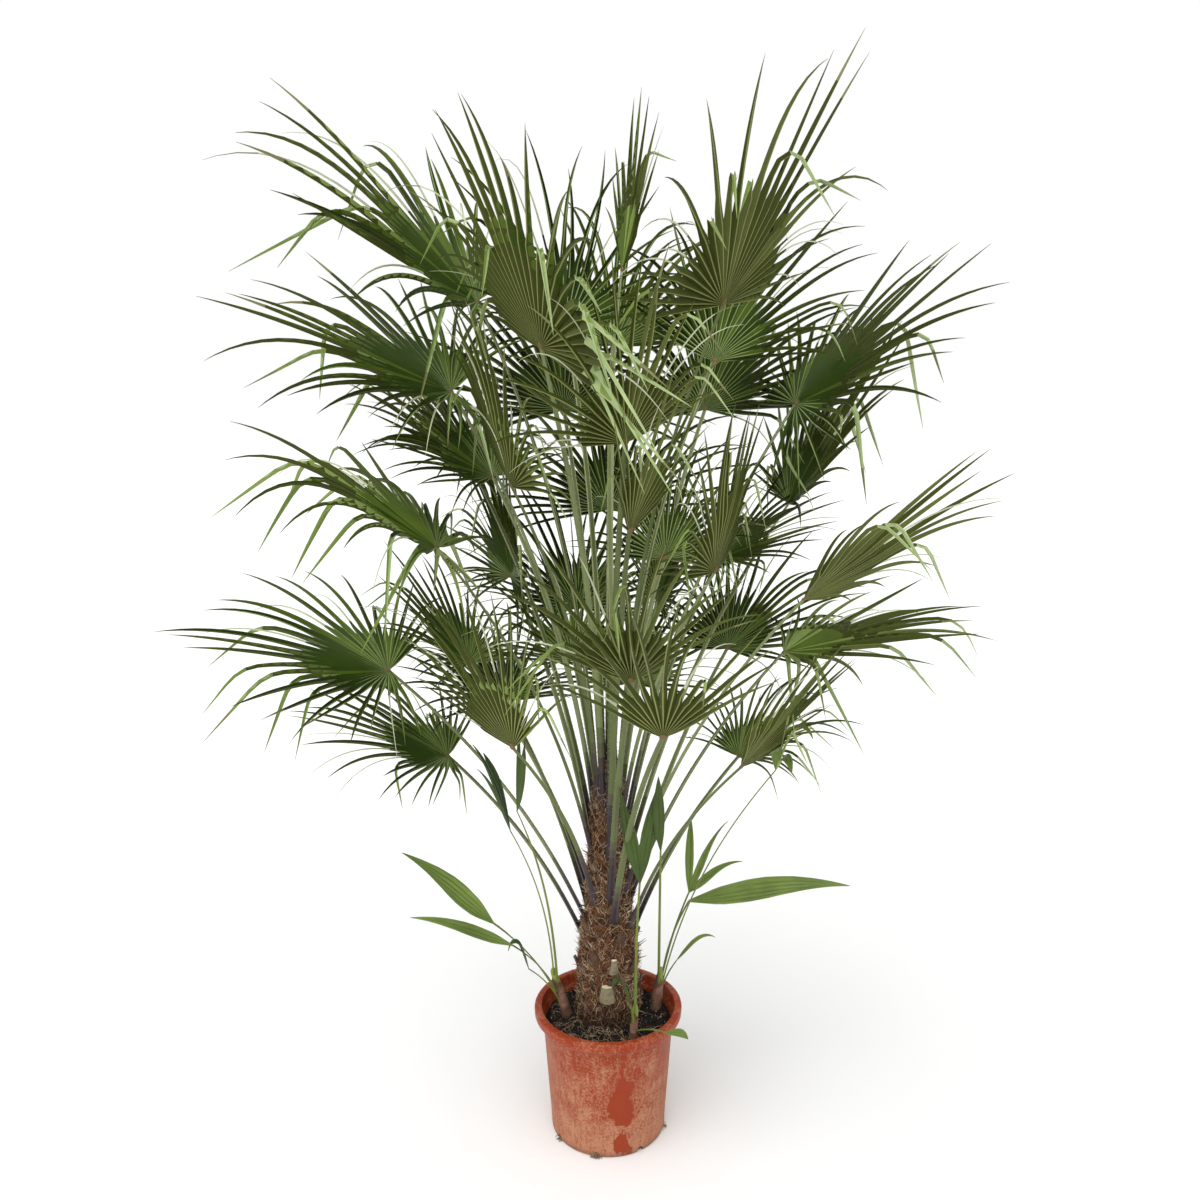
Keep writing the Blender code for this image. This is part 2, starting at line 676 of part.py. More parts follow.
def sucker_solid(name, sucker, extra, group, surface=None):
    """The sheathed stem of a sucker, cut flat on the soil and grown by extra."""
    foot, top = sucker_line(sucker)
    heading = (top - foot).normalized()
    radii = (sucker.foot_radius + extra, sucker.top_radius + extra)
    stem = tube(name, (foot, top + heading * extra), radii, group, resolution=1)
    for vertex in stem.data.vertices:
        if vertex.co.z < (foot.z + top.z) / 2:
            vertex.co += heading * (foot.z - vertex.co.z) / heading.z
    if surface:
        stem.data.materials.append(surface)
    return stem


def main():
    for old in list(bpy.data.objects):
        bpy.data.objects.remove(old)
    palm = collection("potted_fan_palm")
    helpers = collection("helpers", shown=False)
    make_pot(palm)
    make_soil(palm)
    obstacles = Obstacles()
    cutters = {}
    fibre = material("trunk_fibre", (0.105, 0.055, 0.030), 0.95)
    trunk_solid("trunk", 0.0, palm, fibre)
    cutters["trunk"] = trunk_solid("trunk_clearance", CUT_CLEARANCE, helpers)
    sheath = material("sucker_sheath", (0.10, 0.045, 0.030), 0.8)
    for name, sucker in SUCKERS.items():
        sucker_solid(name, sucker, 0.0, palm, sheath)
        cutters[name] = sucker_solid(name + "_clearance", sucker, CUT_CLEARANCE, helpers)
    for name, cutter in cutters.items():
        hide(cutter)
        obstacles.add(name, mesh_tree(cutter))
    frond_green = material("frond_green", (0.085, 0.145, 0.045), 0.5)
    young_green = material("young_leaf_green", (0.140, 0.240, 0.060), 0.5)
    crown = crown_fans(helpers, obstacles)
    young = young_fans(helpers, obstacles)
    for fan, petiole in crown:
        make_leaf(fan, petiole, obstacles, palm, helpers, frond_green, cutters["trunk"])
    for (fan, petiole), leaf in zip(young, YOUNG_LEAVES):
        make_leaf(fan, petiole, obstacles, palm, helpers, young_green, cutters[leaf.sucker])
    return crown + young, obstacles


if __name__ == "__main__":
    main()
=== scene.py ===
"""Potted European fan palm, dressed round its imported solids: an old nursery pot of soil, a fibrous
trunk with its crown of fan fronds, and three suckers with young leaves. Metres, +Z up."""

import math
import random
from typing import NamedTuple

import bmesh
import bpy
from mathutils import Matrix, Vector, noise


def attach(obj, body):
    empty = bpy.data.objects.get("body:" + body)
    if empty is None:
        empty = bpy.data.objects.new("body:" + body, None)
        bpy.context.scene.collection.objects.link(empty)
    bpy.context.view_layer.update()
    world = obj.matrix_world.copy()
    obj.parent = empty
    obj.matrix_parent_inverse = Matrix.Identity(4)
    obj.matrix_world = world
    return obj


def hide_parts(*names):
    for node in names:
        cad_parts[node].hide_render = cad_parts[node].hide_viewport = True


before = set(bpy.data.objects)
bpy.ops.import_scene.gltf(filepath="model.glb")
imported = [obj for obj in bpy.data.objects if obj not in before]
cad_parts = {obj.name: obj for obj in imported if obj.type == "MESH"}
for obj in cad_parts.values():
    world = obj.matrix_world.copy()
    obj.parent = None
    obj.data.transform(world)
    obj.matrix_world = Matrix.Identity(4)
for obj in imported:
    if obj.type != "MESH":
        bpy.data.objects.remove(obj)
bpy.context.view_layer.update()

# Pot: a nursery tub of injection-moulded polypropylene, coloured right through like terracotta.
# Hard water and dust have left a chalky film on it, washed off again by one run at the front.
POT_HEIGHT = 0.287
POT_BASE_RADIUS = 0.125
POT_NECK_RADIUS = 0.141
POT_NECK_HEIGHT = 0.253
POT_LIP_RADIUS = 0.160
POT_LIP_WIDTH = 0.016
POT_LIP_DROP = 0.021
POT_WALL = 0.003
POT_SIDES = 144
NOTCH_COUNT = 8
NOTCH_RADIUS = 0.0085
NOTCH_FIRST = math.radians(258)
UP = Vector((0.0, 0.0, 1.0))
MIX_A, MIX_B = 6, 7
BLOTCH_SIZE = 0.045
STREAK_WIDTH, STREAK_LENGTH = 0.008, 0.035
SCUFF_LENGTH, SCUFF_WIDTH = 0.016, 0.0035
GRIT_SIZE = 0.004
WASHED_FOOT, WASHED_TIP = 0.078, 0.212
WASHED_MIDDLE = 0.029
SWAY = 0.0018


def linear(colour):
    """An sRGB hex colour as the linear RGBA that a shader takes."""
    parts = [int(colour[start:start + 2], 16) / 255 for start in (1, 3, 5)]
    parts = [part / 12.92 if part <= 0.04045 else ((part + 0.055) / 1.055) ** 2.4 for part in parts]
    return (*parts, 1.0)


def wire(tree, node, inputs):
    """Fills a node's inputs. Each takes a value, or a link: from a socket, or from a node's first output."""
    for name, value in inputs.items():
        if isinstance(value, bpy.types.Node):
            value = next(socket for socket in value.outputs if socket.enabled)
        if isinstance(value, bpy.types.NodeSocket):
            tree.links.new(value, node.inputs[name])
        else:
            node.inputs[name].default_value = value


def add_node(tree, kind, inputs=None, **settings):
    """Adds a node with its settings and inputs."""
    made = tree.nodes.new("ShaderNode" + kind)
    for name, value in settings.items():
        setattr(made, name, value)
    wire(tree, made, inputs or {})
    return made


def new_finish(name, **sockets):
    """A material with its Principled shader, whose even sockets are set by name."""
    made = bpy.data.materials.new(name)
    made.use_nodes = True
    tree = made.node_tree
    shader = tree.nodes["Principled BSDF"]
    wire(tree, shader, {socket.replace("_", " "): value for socket, value in sockets.items()})
    return made, tree, shader


def level_part(vector):
    """A vector without its height."""
    return Vector((vector.x, vector.y, 0.0))


def as_object(name, mesh, finishes):
    """Puts a finished mesh into the scene with its materials."""
    for finish in finishes:
        mesh.materials.append(finish)
    made = bpy.data.objects.new(name, mesh)
    bpy.context.scene.collection.objects.link(made)
    return made


def pot_outline():
    """(radius, height) of the tub's section, from the middle of its floor inside to outside."""
    lip_inside = POT_LIP_RADIUS - POT_LIP_WIDTH
    top = POT_HEIGHT
    skirt = POT_HEIGHT - POT_LIP_DROP
    return (
        (0.0, POT_WALL),
        (POT_BASE_RADIUS - 2 * POT_WALL, POT_WALL),
        (POT_NECK_RADIUS - POT_WALL, POT_NECK_HEIGHT),
        (lip_inside - 0.001, POT_NECK_HEIGHT + 0.009),
        (lip_inside, POT_NECK_HEIGHT + 0.011),
        (lip_inside, top - 0.0030),
        (lip_inside + 0.0008, top - 0.0011),
        (lip_inside + 0.0024, top - 0.0002),
        (lip_inside + 0.0045, top),
        (POT_LIP_RADIUS - 0.0050, top),
        (POT_LIP_RADIUS - 0.0022, top - 0.0008),
        (POT_LIP_RADIUS - 0.0006, top - 0.0026),
        (POT_LIP_RADIUS, top - 0.0052),
        (POT_LIP_RADIUS - 0.0006, skirt + 0.0030),
        (POT_LIP_RADIUS - 0.0012, skirt + 0.0008),
        (POT_LIP_RADIUS - 0.0022, skirt),
        (POT_LIP_RADIUS - POT_WALL, skirt + 0.0006),
        (POT_LIP_RADIUS - POT_WALL, top - 0.005),
        (lip_inside + POT_WALL, top - 0.005),
        (lip_inside + POT_WALL, POT_NECK_HEIGHT + 0.008),
        (POT_NECK_RADIUS + 0.0008, POT_NECK_HEIGHT - 0.001),
        (POT_NECK_RADIUS, POT_NECK_HEIGHT - 0.005),
        (POT_BASE_RADIUS + 0.0010, 0.030),
        (POT_BASE_RADIUS, 0.0065),
        (POT_BASE_RADIUS - 0.0012, 0.0022),
        (POT_BASE_RADIUS - 0.0045, 0.0),
        (0.0, 0.0),
    )


def turned(outline, sides):
    """A closed bmesh of revolution about Z."""
    built = bmesh.new()
    points = [built.verts.new((radius, 0.0, height)) for radius, height in outline]
    edges = [built.edges.new(pair) for pair in zip(points, points[1:])]
    bmesh.ops.spin(
        built, geom=points + edges, cent=(0, 0, 0), axis=UP, dvec=(0, 0, 0),
        angle=math.tau, steps=sides, use_merge=True,
    )
    bmesh.ops.remove_doubles(built, verts=built.verts, dist=0.00002)
    bmesh.ops.recalc_face_normals(built, faces=built.faces)
    return built


def notch_cutter():
    """Short rods that cut the drainage notches through the wall's foot."""
    built = bmesh.new()
    for number in range(NOTCH_COUNT):
        turn = NOTCH_FIRST + number * math.tau / NOTCH_COUNT
        place = Matrix.Rotation(turn, 4, "Z") @ Matrix.Translation((POT_BASE_RADIUS, 0, 0.004))
        place = place @ Matrix.Rotation(math.radians(90), 4, "Y")
        bmesh.ops.create_cone(
            built, cap_ends=True, segments=20, radius1=NOTCH_RADIUS, radius2=NOTCH_RADIUS,
            depth=0.016, matrix=place,
        )
    mesh = bpy.data.meshes.new("notches")
    built.to_mesh(mesh)
    built.free()
    return bpy.data.objects.new("notches", mesh)


def smoothed(mesh, angle):
    """Smooth shading with the edges sharper than the angle left sharp."""
    mesh.shade_smooth()
    mesh.set_sharp_from_angle(angle=math.radians(angle))


def applied(made):
    """Applies an object's modifiers to its mesh."""
    graph = bpy.context.evaluated_depsgraph_get()
    mesh = bpy.data.meshes.new_from_object(made.evaluated_get(graph), depsgraph=graph)
    made.modifiers.clear()
    made.data = mesh


# Moulded polypropylene: an even satin orange under a matt chalk film, pale where it lies thick
pot_plastic, tree, shader = new_finish("moulded_polypropylene", IOR=1.49, Specular_IOR_Level=0.25)
place = add_node(tree, "TexCoord").outputs["Object"]
axes = add_node(tree, "SeparateXYZ", {"Vector": place})
across, towards, height = (axes.outputs[name] for name in "XYZ")
blotch = add_node(tree, "TexNoise", {"Vector": place, "Scale": 1 / BLOTCH_SIZE,
                                     "Detail": 6.0, "Roughness": 0.62})
strokes = (1 / STREAK_WIDTH, 1 / STREAK_WIDTH, 1 / STREAK_LENGTH)
stretch = add_node(tree, "Mapping", {"Vector": place, "Scale": strokes})
streak = add_node(tree, "TexNoise", {"Vector": stretch, "Scale": 1.0, "Detail": 5.0, "Roughness": 0.6})
# Dust of about 1 mm, drawn at 4 mm so that it shows
grit = add_node(tree, "TexNoise", {"Vector": place, "Scale": 1 / GRIT_SIZE, "Detail": 4.0})
low = add_node(tree, "MapRange", {"Value": height, "From Max": 0.27, "To Min": 0.62, "To Max": 0.30})
film = add_node(tree, "Math", {0: blotch, 1: 0.80, 2: low}, operation="MULTIPLY_ADD")
film = add_node(tree, "Math", {0: streak, 1: 0.60, 2: film}, operation="MULTIPLY_ADD")
film = add_node(tree, "Math", {0: grit, 1: 0.90, 2: film}, operation="MULTIPLY_ADD")
film = add_node(tree, "MapRange", {"Value": film, "From Min": 1.42, "From Max": 1.78})
# The washed patch is a drop 134 mm tall and 70 mm wide, its tip up, at the front
rise = add_node(tree, "MapRange", {"Value": height, "From Min": WASHED_FOOT, "From Max": WASHED_TIP})
root = add_node(tree, "Math", {0: rise, 1: 0.5}, operation="POWER")
fall = add_node(tree, "Math", {0: 1.0, 1: rise}, operation="SUBTRACT")
drop = add_node(tree, "Math", {0: root, 1: fall}, operation="MULTIPLY")
side = add_node(tree, "Math", {0: across, 1: -WASHED_MIDDLE}, operation="ADD")
side = add_node(tree, "Math", {0: side}, operation="ABSOLUTE")
inside = add_node(tree, "Math", {0: drop, 1: 0.092}, operation="MULTIPLY")
inside = add_node(tree, "Math", {0: inside, 1: side}, operation="SUBTRACT")
ragged = add_node(tree, "Math", {0: streak, 1: 0.022, 2: inside}, operation="MULTIPLY_ADD")
ragged = add_node(tree, "Math", {0: blotch, 1: 0.16, 2: ragged}, operation="MULTIPLY_ADD")
ragged = add_node(tree, "Math", {0: grit, 1: 0.020, 2: ragged}, operation="MULTIPLY_ADD")
washed = add_node(tree, "MapRange", {"Value": ragged, "From Min": 0.100, "From Max": 0.104})
front = add_node(tree, "Math", {0: towards, 1: 0.0}, operation="LESS_THAN")
washed = add_node(tree, "Math", {0: washed, 1: front}, operation="MULTIPLY")
kept = add_node(tree, "Math", {0: 1.0, 1: washed}, operation="SUBTRACT")
film = add_node(tree, "Math", {0: film, 1: kept}, operation="MULTIPLY")
# The lip is handled often, and holds a little less film
lip = add_node(tree, "MapRange", {"Value": height, "From Min": 0.255, "From Max": 0.268,
                                  "To Min": 1.0, "To Max": 0.93})
film = add_node(tree, "Math", {0: film, 1: lip}, operation="MULTIPLY")
orange, bright_orange = linear("#8c2c08"), linear("#a03c16")
tone = add_node(tree, "Mix", {0: blotch, MIX_A: orange, MIX_B: bright_orange}, data_type="RGBA")
dusty = add_node(tree, "Mix", {0: film, MIX_A: tone, MIX_B: linear("#b88264")}, data_type="RGBA")
# Scuffs bare the brighter plastic in short level strokes
strokes = (1 / SCUFF_LENGTH, 1 / SCUFF_LENGTH, 1 / SCUFF_WIDTH)
level = add_node(tree, "Mapping", {"Vector": place, "Scale": strokes})
scuff = add_node(tree, "TexNoise", {"Vector": level, "Scale": 1.0, "Detail": 4.0, "Roughness": 0.7})
scuff = add_node(tree, "MapRange", {"Value": scuff, "From Min": 0.62, "From Max": 0.66, "To Max": 0.8})
worn = add_node(tree, "Mix", {0: scuff, MIX_A: dusty, MIX_B: linear("#97300a")}, data_type="RGBA")
# Splashed soil darkens the lowest 30 mm
splash = add_node(tree, "MapRange", {"Value": height, "From Min": 0.034, "From Max": 0.0})
splash = add_node(tree, "Math", {0: splash, 1: grit}, operation="MULTIPLY")
splash = add_node(tree, "MapRange", {"Value": splash, "From Min": 0.28, "From Max": 0.55, "To Max": 0.75})
soiled = add_node(tree, "Mix", {0: splash, MIX_A: worn, MIX_B: linear("#6d5443")}, data_type="RGBA")
gloss = add_node(tree, "MapRange", {"Value": film, "To Min": 0.40, "To Max": 0.82})
relief = add_node(tree, "Math", {0: grit, 1: film}, operation="MULTIPLY")
bump = add_node(tree, "Bump", {"Strength": 0.6, "Distance": 0.0009, "Height": relief})
wire(tree, shader, {"Base Color": soiled, "Roughness": gloss, "Normal": bump})

pot_mesh = bpy.data.meshes.new("pot_tub")
tub = turned(pot_outline(), POT_SIDES)
for vertex in tub.verts:
    sway = noise.noise(vertex.co * 9.0) * SWAY * min(1.0, vertex.co.z / 0.05)
    out = level_part(vertex.co)
    if out.length > 0.01:
        vertex.co += out.normalized() * sway
tub.to_mesh(pot_mesh)
tub.free()
pot_tub = as_object("pot_tub", pot_mesh, [pot_plastic])
cutter = notch_cutter()
bpy.context.scene.collection.objects.link(cutter)
notching = pot_tub.modifiers.new("notches", "BOOLEAN")
notching.operation = "DIFFERENCE"
notching.solver = "EXACT"
notching.object = cutter
applied(pot_tub)
bpy.data.objects.remove(cutter)
smoothed(pot_tub.data, 38)
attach(pot_tub, "root")
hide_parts("pot")

# Soil: potting mix of peat and composted bark, dark and damp, settled below the lip. It lies
# heaped a little against the trunk, strewn with bark chips, grit and the palm's own thin roots.
SOIL_HEIGHT = 0.262
SOIL_LEVEL_RADIUS = 0.122
SOIL_EDGE_HEIGHT = 0.251
SOIL_RINGS = 56
SOIL_SIDES = 150
SOIL_DEPTH = 0.030
SOIL_SUNK = 0.002
CLOD_SIZE, CLOD_HEIGHT = 0.011, 0.0042
CRUMB_SIZE, CRUMB_HEIGHT = 0.0038, 0.0022
HEAP_REACH, HEAP_WIDTH, HEAP_HEIGHT = 0.070, 0.022, 0.007
PEAT_GRAIN = 0.004
CHIP_COUNT = 1500
SMALL_CHIP, LARGE_CHIP = (0.003, 0.007), (0.007, 0.013)
SMALL_CHIPS = 0.85
# How many chips are dark bark, brown bark and straw
CHIP_TONES = (60, 34, 6)
GRIT_COUNT = 170
GRIT_WIDTH = (0.0014, 0.0030)
STREWN_TO = 0.126
ROOT_COUNT = 90
ROOT_STEP, ROOT_RADIUS = 0.0038, (0.00035, 0.0009)
ROOTS_THICKEST = math.radians(245)
ROOTS_FROM, ROOTS_TO = 0.064, 0.127
# Notch and number of roots of each tuft
TUFTS = ((0, 60), (-1, 16), (2, 20))
TUFT_STEP, TUFT_RADIUS = 0.0024, (0.0005, 0.0013)
draw = random.Random(11)


class Gathered:
    """Points, faces and each face's material and map, gathered from many like pieces."""

    def __init__(self):
        self.points, self.faces, self.slots, self.map = [], [], [], []

    def sweep(self, rings, slots, lengths=None):
        """A closed body through a row of rings, each wound round the way that the row runs."""
        first, count = len(self.points), len(rings[0])
        for ring in rings:
            self.points.extend(ring)
        lengths = lengths or [float(row) for row in range(len(rings))]
        for row in range(len(rings) - 1):
            low, high = first + row * count, first + (row + 1) * count
            row_slots = slots[row] if isinstance(slots[0], (list, tuple)) else slots
            for side in range(count):
                after = (side + 1) % count
                self.faces.append((low + side, low + after, high + after, high + side))
                self.slots.append(row_slots[side])
                left, right = side / count, (side + 1) / count
                foot, head = lengths[row], lengths[row + 1]
                self.map += [left, foot, right, foot, right, head, left, head]
        last = len(self.points) - count
        self.face(tuple(reversed(range(first, first + count))), self.slots[-1])
        self.face(tuple(range(last, last + count)), self.slots[-1])

    def face(self, corners, slot):
        """One face with no place on the map."""
        self.faces.append(corners)
        self.slots.append(slot)
        self.map += [0.0, 0.0] * len(corners)

    def mesh(self, name, sharp=None):
        """All of it as one mesh, smooth except at edges sharper than the angle."""
        made = bpy.data.meshes.new(name)
        made.from_pydata(self.points, [], self.faces)
        made.polygons.foreach_set("material_index", self.slots)
        made.uv_layers.new(name="along").uv.foreach_set("vector", self.map)
        if sharp:
            smoothed(made, sharp)
        return made


def about_axis(radius, turn, height=0.0):
    """A point at a radius and a turn about the pot's upright axis."""
    return Vector((radius * math.cos(turn), radius * math.sin(turn), height))


def round_ring(centre, heading, radius, sides):
    """Points of a circle round a heading, wound the way that it runs."""
    first = heading.cross(UP if abs(heading.z) < 0.9 else Vector((1.0, 0.0, 0.0))).normalized()
    second = heading.cross(first)
    ring = []
    for side in range(sides):
        angle = math.tau * side / sides
        ring.append(centre + (first * math.cos(angle) + second * math.sin(angle)) * radius)
    return ring


def strand(gathered, route, radius, sides, slot, tip=0.25):
    """A thin round strand along a route, narrowing to tip times its radius."""
    rings = []
    for number, point in enumerate(route):
        before, after = route[max(0, number - 1)], route[min(len(route) - 1, number + 1)]
        narrowed = radius * (1 + (tip - 1) * number / (len(route) - 1))
        rings.append(round_ring(point, (after - before).normalized(), narrowed, sides))
    gathered.sweep(rings, [slot] * sides)


def soil_top(x, y):
    """Height of the soil's surface over a point."""
    reach = math.hypot(x, y)
    sink = max(0.0, reach - SOIL_LEVEL_RADIUS) / (POT_NECK_RADIUS - POT_WALL - SOIL_LEVEL_RADIUS)
    clods = noise.noise(Vector((x, y, 0.3)) / CLOD_SIZE) * CLOD_HEIGHT
    crumbs = noise.noise(Vector((x, y, 1.7)) / CRUMB_SIZE) * CRUMB_HEIGHT
    heap = HEAP_HEIGHT * math.exp(-(((reach - HEAP_REACH) / HEAP_WIDTH) ** 2)) if reach > 0.05 else 0.0
    level = SOIL_HEIGHT - SOIL_SUNK - (SOIL_HEIGHT - SOIL_EDGE_HEIGHT) * min(1.0, sink)
    return level + clods + crumbs + heap


def soil_body():
    """The soil's rough top with its side and underneath, as one closed mesh."""
    gathered = Gathered()
    edge = POT_BASE_RADIUS - 2 * POT_WALL
    edge += (POT_NECK_RADIUS - POT_WALL - edge) * (SOIL_EDGE_HEIGHT - SOIL_DEPTH) / POT_NECK_HEIGHT
    turns = [math.tau * side / SOIL_SIDES for side in range(SOIL_SIDES)]
    rings = [[about_axis(edge, turn, SOIL_EDGE_HEIGHT - SOIL_DEPTH) for turn in turns]]
    for row in range(SOIL_RINGS + 1):
        radius = edge * (1 - row / (SOIL_RINGS + 1)) ** 0.9
        places = [(radius * math.cos(turn), radius * math.sin(turn)) for turn in turns]
        rings.append([Vector((x, y, soil_top(x, y))) for x, y in places])
    gathered.sweep(rings, [0] * SOIL_SIDES)
    return gathered.mesh("soil_surface", sharp=60)


def strewn():
    """A place drawn on the soil, between the trunk and the pot's wall."""
    reach = STREWN_TO * math.sqrt(draw.uniform(0.25, 1.0))
    turn = draw.uniform(0, math.tau)
    return reach * math.cos(turn), reach * math.sin(turn)


def chip(gathered, centre, size, slot):
    """A broken splinter of bark: a squashed box with every corner knocked about."""
    turn = Matrix.Rotation(draw.uniform(0, math.tau), 3, "Z") @ Matrix.Rotation(draw.gauss(0, 0.5), 3, "X")
    turn = turn @ Matrix.Rotation(draw.gauss(0, 0.35), 3, "Y")
    half = Vector((size, size * draw.uniform(0.25, 0.6), size * draw.uniform(0.12, 0.3))) / 2
    rings = []
    for end in (-1, 1):
        ring = []
        for wide, tall in ((1, -1), (1, 1), (-1, 1), (-1, -1)):
            knock = [draw.uniform(0.6, 1.15) for _ in range(3)]
            corner = Vector((end * half.x * knock[0], wide * half.y * knock[1], tall * half.z * knock[2]))
            ring.append(centre + turn @ corner)
        rings.append(ring)
    gathered.sweep(rings, [slot] * 4)


# Damp peat: near black and matt, with browner crumbs, so that it swallows the light
peat, tree, shader = new_finish("damp_peat", Roughness=0.92, IOR=1.4)
place = add_node(tree, "TexCoord").outputs["Object"]
crumb = add_node(tree, "TexNoise", {"Vector": place, "Scale": 1 / PEAT_GRAIN,
                                    "Detail": 6.0, "Roughness": 0.7})
share = add_node(tree, "MapRange", {"Value": crumb, "From Min": 0.42, "From Max": 0.72})
black, brown = linear("#040201"), linear("#1d140d")
tone = add_node(tree, "Mix", {0: share, MIX_A: black, MIX_B: brown}, data_type="RGBA")
bump = add_node(tree, "Bump", {"Strength": 0.8, "Distance": 0.0015, "Height": crumb})
wire(tree, shader, {"Base Color": tone, "Normal": bump})


def fibrous_finish(name, dark, light, grain, roughness, damp_below=None):
    """A matt plant fibre or bark: its tone wanders between two colours, and its grain stands up.

    Below damp_below it darkens towards its foot, where it stays damp.
    """
    made, tree, shader = new_finish(name, Roughness=roughness, IOR=1.45)
    place = add_node(tree, "TexCoord").outputs["Object"]
    wander = add_node(tree, "TexNoise", {"Vector": place, "Scale": 1 / (grain * 6), "Detail": 4.0})
    fleck = add_node(tree, "TexNoise", {"Vector": place, "Scale": 1 / grain,
                                        "Detail": 4.0, "Roughness": 0.65})
    both = add_node(tree, "Math", {0: fleck, 1: wander}, operation="ADD")
    share = add_node(tree, "MapRange", {"Value": both, "From Min": 0.75, "From Max": 1.25})
    if damp_below is not None:
        height = add_node(tree, "SeparateXYZ", {"Vector": place}).outputs["Z"]
        wet_to, dry_from = damp_below - 0.06, damp_below
        dry = add_node(tree, "MapRange", {"Value": height, "From Min": wet_to, "From Max": dry_from,
                                          "To Min": 0.12})
        share = add_node(tree, "Math", {0: share, 1: dry}, operation="MULTIPLY")
    tone = add_node(tree, "Mix", {0: share, MIX_A: linear(dark), MIX_B: linear(light)}, data_type="RGBA")
    bump = add_node(tree, "Bump", {"Strength": 0.5, "Distance": grain * 0.4, "Height": fleck})
    wire(tree, shader, {"Base Color": tone, "Normal": bump})
    return made


# Composted bark: red-brown to black chips. Root skin: pale tan. Grit: off-white specks
dark_bark = fibrous_finish("composted_bark_dark", "#0c0603", "#1e130b", 0.002, 0.85)
brown_bark = fibrous_finish("composted_bark_brown", "#1f140c", "#442f20", 0.002, 0.8)
pale_straw = fibrous_finish("dry_straw", "#6f5c44", "#a08b6c", 0.002, 0.75)
root_skin = fibrous_finish("dry_root_skin", "#6d5541", "#b0967a", 0.003, 0.7)
grit_stone = fibrous_finish("perlite_grit", "#a9a196", "#d8d3c9", 0.001, 0.85)

soil_surface = as_object("soil_surface", soil_body(), [peat])
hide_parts("soil")

chips = Gathered()
for _ in range(CHIP_COUNT):
    x, y = strewn()
    size = draw.uniform(*(SMALL_CHIP if draw.random() < SMALL_CHIPS else LARGE_CHIP))
    centre = Vector((x, y, soil_top(x, y) + draw.uniform(-0.0005, 0.0016)))
    chip(chips, centre, size, draw.choices((0, 1, 2), CHIP_TONES)[0])
chip_mesh = chips.mesh("soil_bark_chips")
bark_chips = as_object("soil_bark_chips", chip_mesh, [dark_bark, brown_bark, pale_straw])

specks = Gathered()
for _ in range(GRIT_COUNT):
    x, y = strewn()
    chip(specks, Vector((x, y, soil_top(x, y) + 0.0012)), draw.uniform(*GRIT_WIDTH), 0)
soil_grit = as_object("soil_grit", specks.mesh("soil_grit"), [grit_stone])


def surface_root(gathered):
    """A thin root that wanders over the soil from near the trunk, thickest at the front left."""
    turn = draw.gauss(ROOTS_THICKEST, math.radians(55))
    reach = draw.uniform(0.066, 0.115)
    heading = turn + draw.gauss(0, 0.9)
    point = about_axis(reach, turn)
    route = []
    lift = draw.uniform(0.001, 0.006)
    steps = draw.randint(7, 16)
    for step in range(steps):
        arch = math.sin(math.pi * step / (steps - 1)) * lift
        route.append(Vector((point.x, point.y, soil_top(point.x, point.y) + 0.0004 + arch)))
        heading += draw.gauss(0, 0.38)
        ahead = point + about_axis(1.0, heading) * ROOT_STEP
        if ROOTS_FROM < ahead.length < ROOTS_TO:
            point = ahead
        else:
            heading += 1.2
    strand(gathered, route, draw.uniform(*ROOT_RADIUS), 5, 0 if draw.random() < 0.7 else 1)


roots = Gathered()
for _ in range(ROOT_COUNT):
    surface_root(roots)
root_mesh = roots.mesh("soil_surface_roots", sharp=80)
surface_roots = as_object("soil_surface_roots", root_mesh, [root_skin, pale_straw])

# Roots that have found three of the drainage notches stand out of them in tufts, the front one thick
tuft = Gathered()
for notch, count in TUFTS:
    for _ in range(count):
        turn = NOTCH_FIRST + notch * math.tau / NOTCH_COUNT + draw.gauss(0, 0.040)
        out = about_axis(1.0, turn)
        point = out * (POT_BASE_RADIUS - 0.006) + UP * draw.uniform(0.002, 0.011)
        heading = (out + UP * draw.gauss(0.15, 0.35) + Vector((draw.gauss(0, 0.45), 0, 0))).normalized()
        route = []
        for _ in range(7):
            route.append(point.copy())
            sag, stray = draw.uniform(0.0, 0.4), draw.gauss(0, 0.3)
            heading = (heading - UP * sag + Vector((stray, 0, 0))).normalized()
            point = point + heading * TUFT_STEP
            point.z = max(point.z, 0.0008)
        strand(tuft, route, draw.uniform(*TUFT_RADIUS), 5, 0)
root_tuft = as_object("drainage_root_tuft", tuft.mesh("drainage_root_tuft", sharp=80), [root_skin])
for piece in (soil_surface, bark_chips, soil_grit, surface_roots, root_tuft):
    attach(piece, "root")

# Trunk: the palm's stem under its coat of leaf-base fibre, a brown felt of crossed strands. Cut
# petiole stubs stand out of the coat in the spiral in which the fronds grew, the newest cuts pale.
TRUNK_FOOT = 0.2623
TRUNK_PROFILE = (
    (0.000, 0.071),
    (0.030, 0.066),
    (0.115, 0.065),
    (0.188, 0.059),
    (0.244, 0.050),
    (0.294, 0.045),
    (0.364, 0.041),
    (0.434, 0.036),
    (0.530, 0.031),
    (0.575, 0.018),
)
TRUNK_ROWS = 150
TRUNK_SIDES = 96
COAT_SUNK = 0.006
SCALES_ROUND = 5
SCALE_PITCH = 0.034
SCALE_HEIGHT = 0.0060
FINE_FELT, FINE_DEPTH = 0.006, 0.0020
COARSE_FELT, COARSE_DEPTH = 0.018, 0.0052
COAT_INSET = 0.0035
GOLDEN_ANGLE = math.radians(137.508)
BOOT_COUNT = 14
BOOT_LOWEST = 0.045
BOOT_HIGHEST = 0.210
BOOT_LENGTH = 0.048
BOOT_RADIUS = 0.0125
BOOT_FLARE, BOOT_TAPER = 1.25, 0.72
CUT_BEVEL = 0.80
STUB_STATIONS = (0.0, 0.35, 0.7, 0.93, 1.0, 1.0)
